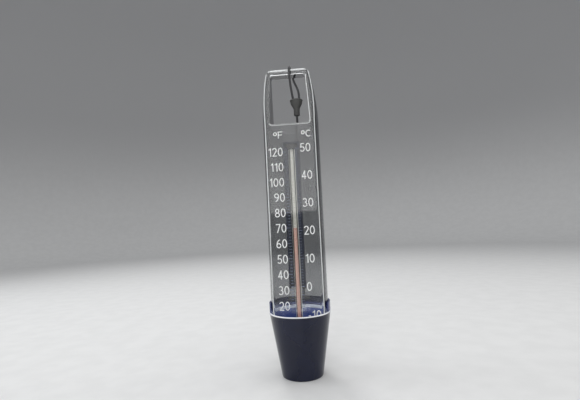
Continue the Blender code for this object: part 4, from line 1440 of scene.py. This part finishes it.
stopper_low, stopper_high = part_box("cord_stopper")
stopper_x, stopper_y = (stopper_low.x + stopper_high.x) / 2, (stopper_low.y + stopper_high.y) / 2
stopper_top, stopper_foot = stopper_high.z, stopper_low.z
stopper_radius = (stopper_high.x - stopper_low.x) / 2
funnel_t = np.linspace(0, 1, 14)
funnel = np.stack([
    stopper_radius - 0.0004 - (stopper_radius - 0.0029) * easing(funnel_t),
    stopper_top - 0.0022 - 0.0064 * funnel_t,
], axis=1)
ring_t = np.linspace(0, 1, 31)
grip = np.stack([
    0.00245 + 0.00012 * np.cos(ring_t * 2 * math.pi * 4),
    stopper_top - 0.0089 - (stopper_top - 0.0089 - stopper_foot - 0.0006) * ring_t,
], axis=1)
stopper = turned("cord_gatherer", [
    (0.0, stopper_top - 0.0006),
    (stopper_radius - 0.0018, stopper_top - 0.0004),
    (stopper_radius - 0.0012, stopper_top),
    arc(stopper_radius - 0.0009, stopper_top - 0.0009, 0.0009, 85, -60, 9),
    funnel,
    grip,
    (0.0014, stopper_foot),
    (0.0, stopper_foot),
], (stopper_x, stopper_y), 48, 50)
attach(stopper, "casing")
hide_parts("cord_stopper")
coat_with(
    moulded_finish("soft_grey_rubber", (0.060, 0.060, 0.058), (0.085, 0.085, 0.082), 0.5, 1500.0, 0.00005),
    stopper,
)

# ------------------------------------------------------------------------- floor and lights
# A pale floor that curves up into a grey wall, a wide soft light over the object, a tall one in
# front of the scale, one at each side, and a small one behind for the edges.


def dish():
    """A round floor at z = 0 that bends up through a quarter circle into a wall all round."""
    bend, flat, wall = 0.45, 1.6, 1.7
    a = np.linspace(0, math.pi / 2, 24)
    radius = np.concatenate([np.linspace(0, flat, 9)[:-1], flat + bend * np.sin(a), [flat + bend]])
    z = np.concatenate([np.zeros(8), bend * (1 - np.cos(a)), [wall]])
    round_it = np.linspace(0, 2 * math.pi, 96, endpoint=False)[None, :]
    points = np.stack([
        radius[:, None] * np.cos(round_it),
        radius[:, None] * np.sin(round_it),
        np.repeat(z[:, None], 96, axis=1),
    ], axis=-1)
    piece = surface("backdrop", points, round_v=True)
    piece.data.flip_normals()
    piece.data.shade_smooth()
    made, tree, shader = new_finish("pale_paper")
    tone = placed(tree, grain_group, Size=400.0)
    risen = band_of(tree, place_parts(tree)["Z"], 0.02, 0.75)
    colour = blended(tree, tone.outputs["Tone"], (0.74, 0.74, 0.735), (0.77, 0.77, 0.765))
    colour = blended(tree, risen, colour, (0.46, 0.46, 0.465))
    tree.links.new(colour, shader.inputs["Base Color"])
    shader.inputs["Roughness"].default_value = 0.9
    shader.inputs["Specular IOR Level"].default_value = 0.1
    coat_with(made, piece)


dish()


def soft_light(name, place, towards, width, height, radiance, colour=(1, 1, 1)):
    """A rectangle that shines radiance evenly; its power is radiance * pi * area."""
    data = bpy.data.lights.new(name, "AREA")
    data.shape = "RECTANGLE"
    data.size, data.size_y = width, height
    data.energy = radiance * math.pi * width * height
    data.color = colour
    lamp = bpy.data.objects.new(name, data)
    aim = (Vector(towards) - Vector(place)).to_track_quat("-Z", "Y")
    lamp.matrix_world = Matrix.Translation(place) @ aim.to_matrix().to_4x4()
    lamp.visible_camera = False
    scene.collection.objects.link(lamp)


soft_light("overhead", (0.05, -0.10, 1.1), (0.0, 0.0, 0.0), 1.1, 1.1, 1.35)
soft_light("front", (-0.10, -1.25, 0.653), (-0.10, 0.0, 0.653), 1.1, 0.974, 1.80)
soft_light("rim", (-0.35, 0.75, 1.1), (0.0, 0.0, 0.15), 0.35, 0.35, 10.0)
soft_light("left", (-1.0, 0.1, 0.5), (0.0, 0.0, 0.12), 0.5, 0.9, 1.6, (0.96, 0.98, 1.0))
soft_light("right", (1.0, 0.25, 0.45), (0.0, 0.0, 0.12), 0.25, 0.9, 1.6, (1.0, 0.98, 0.95))

world = bpy.data.worlds.new("studio")
scene.world = world
world.use_nodes = True
world.node_tree.nodes["Background"].inputs["Color"].default_value = (0.95, 0.97, 1.0, 1.0)
world.node_tree.nodes["Background"].inputs["Strength"].default_value = 0.45
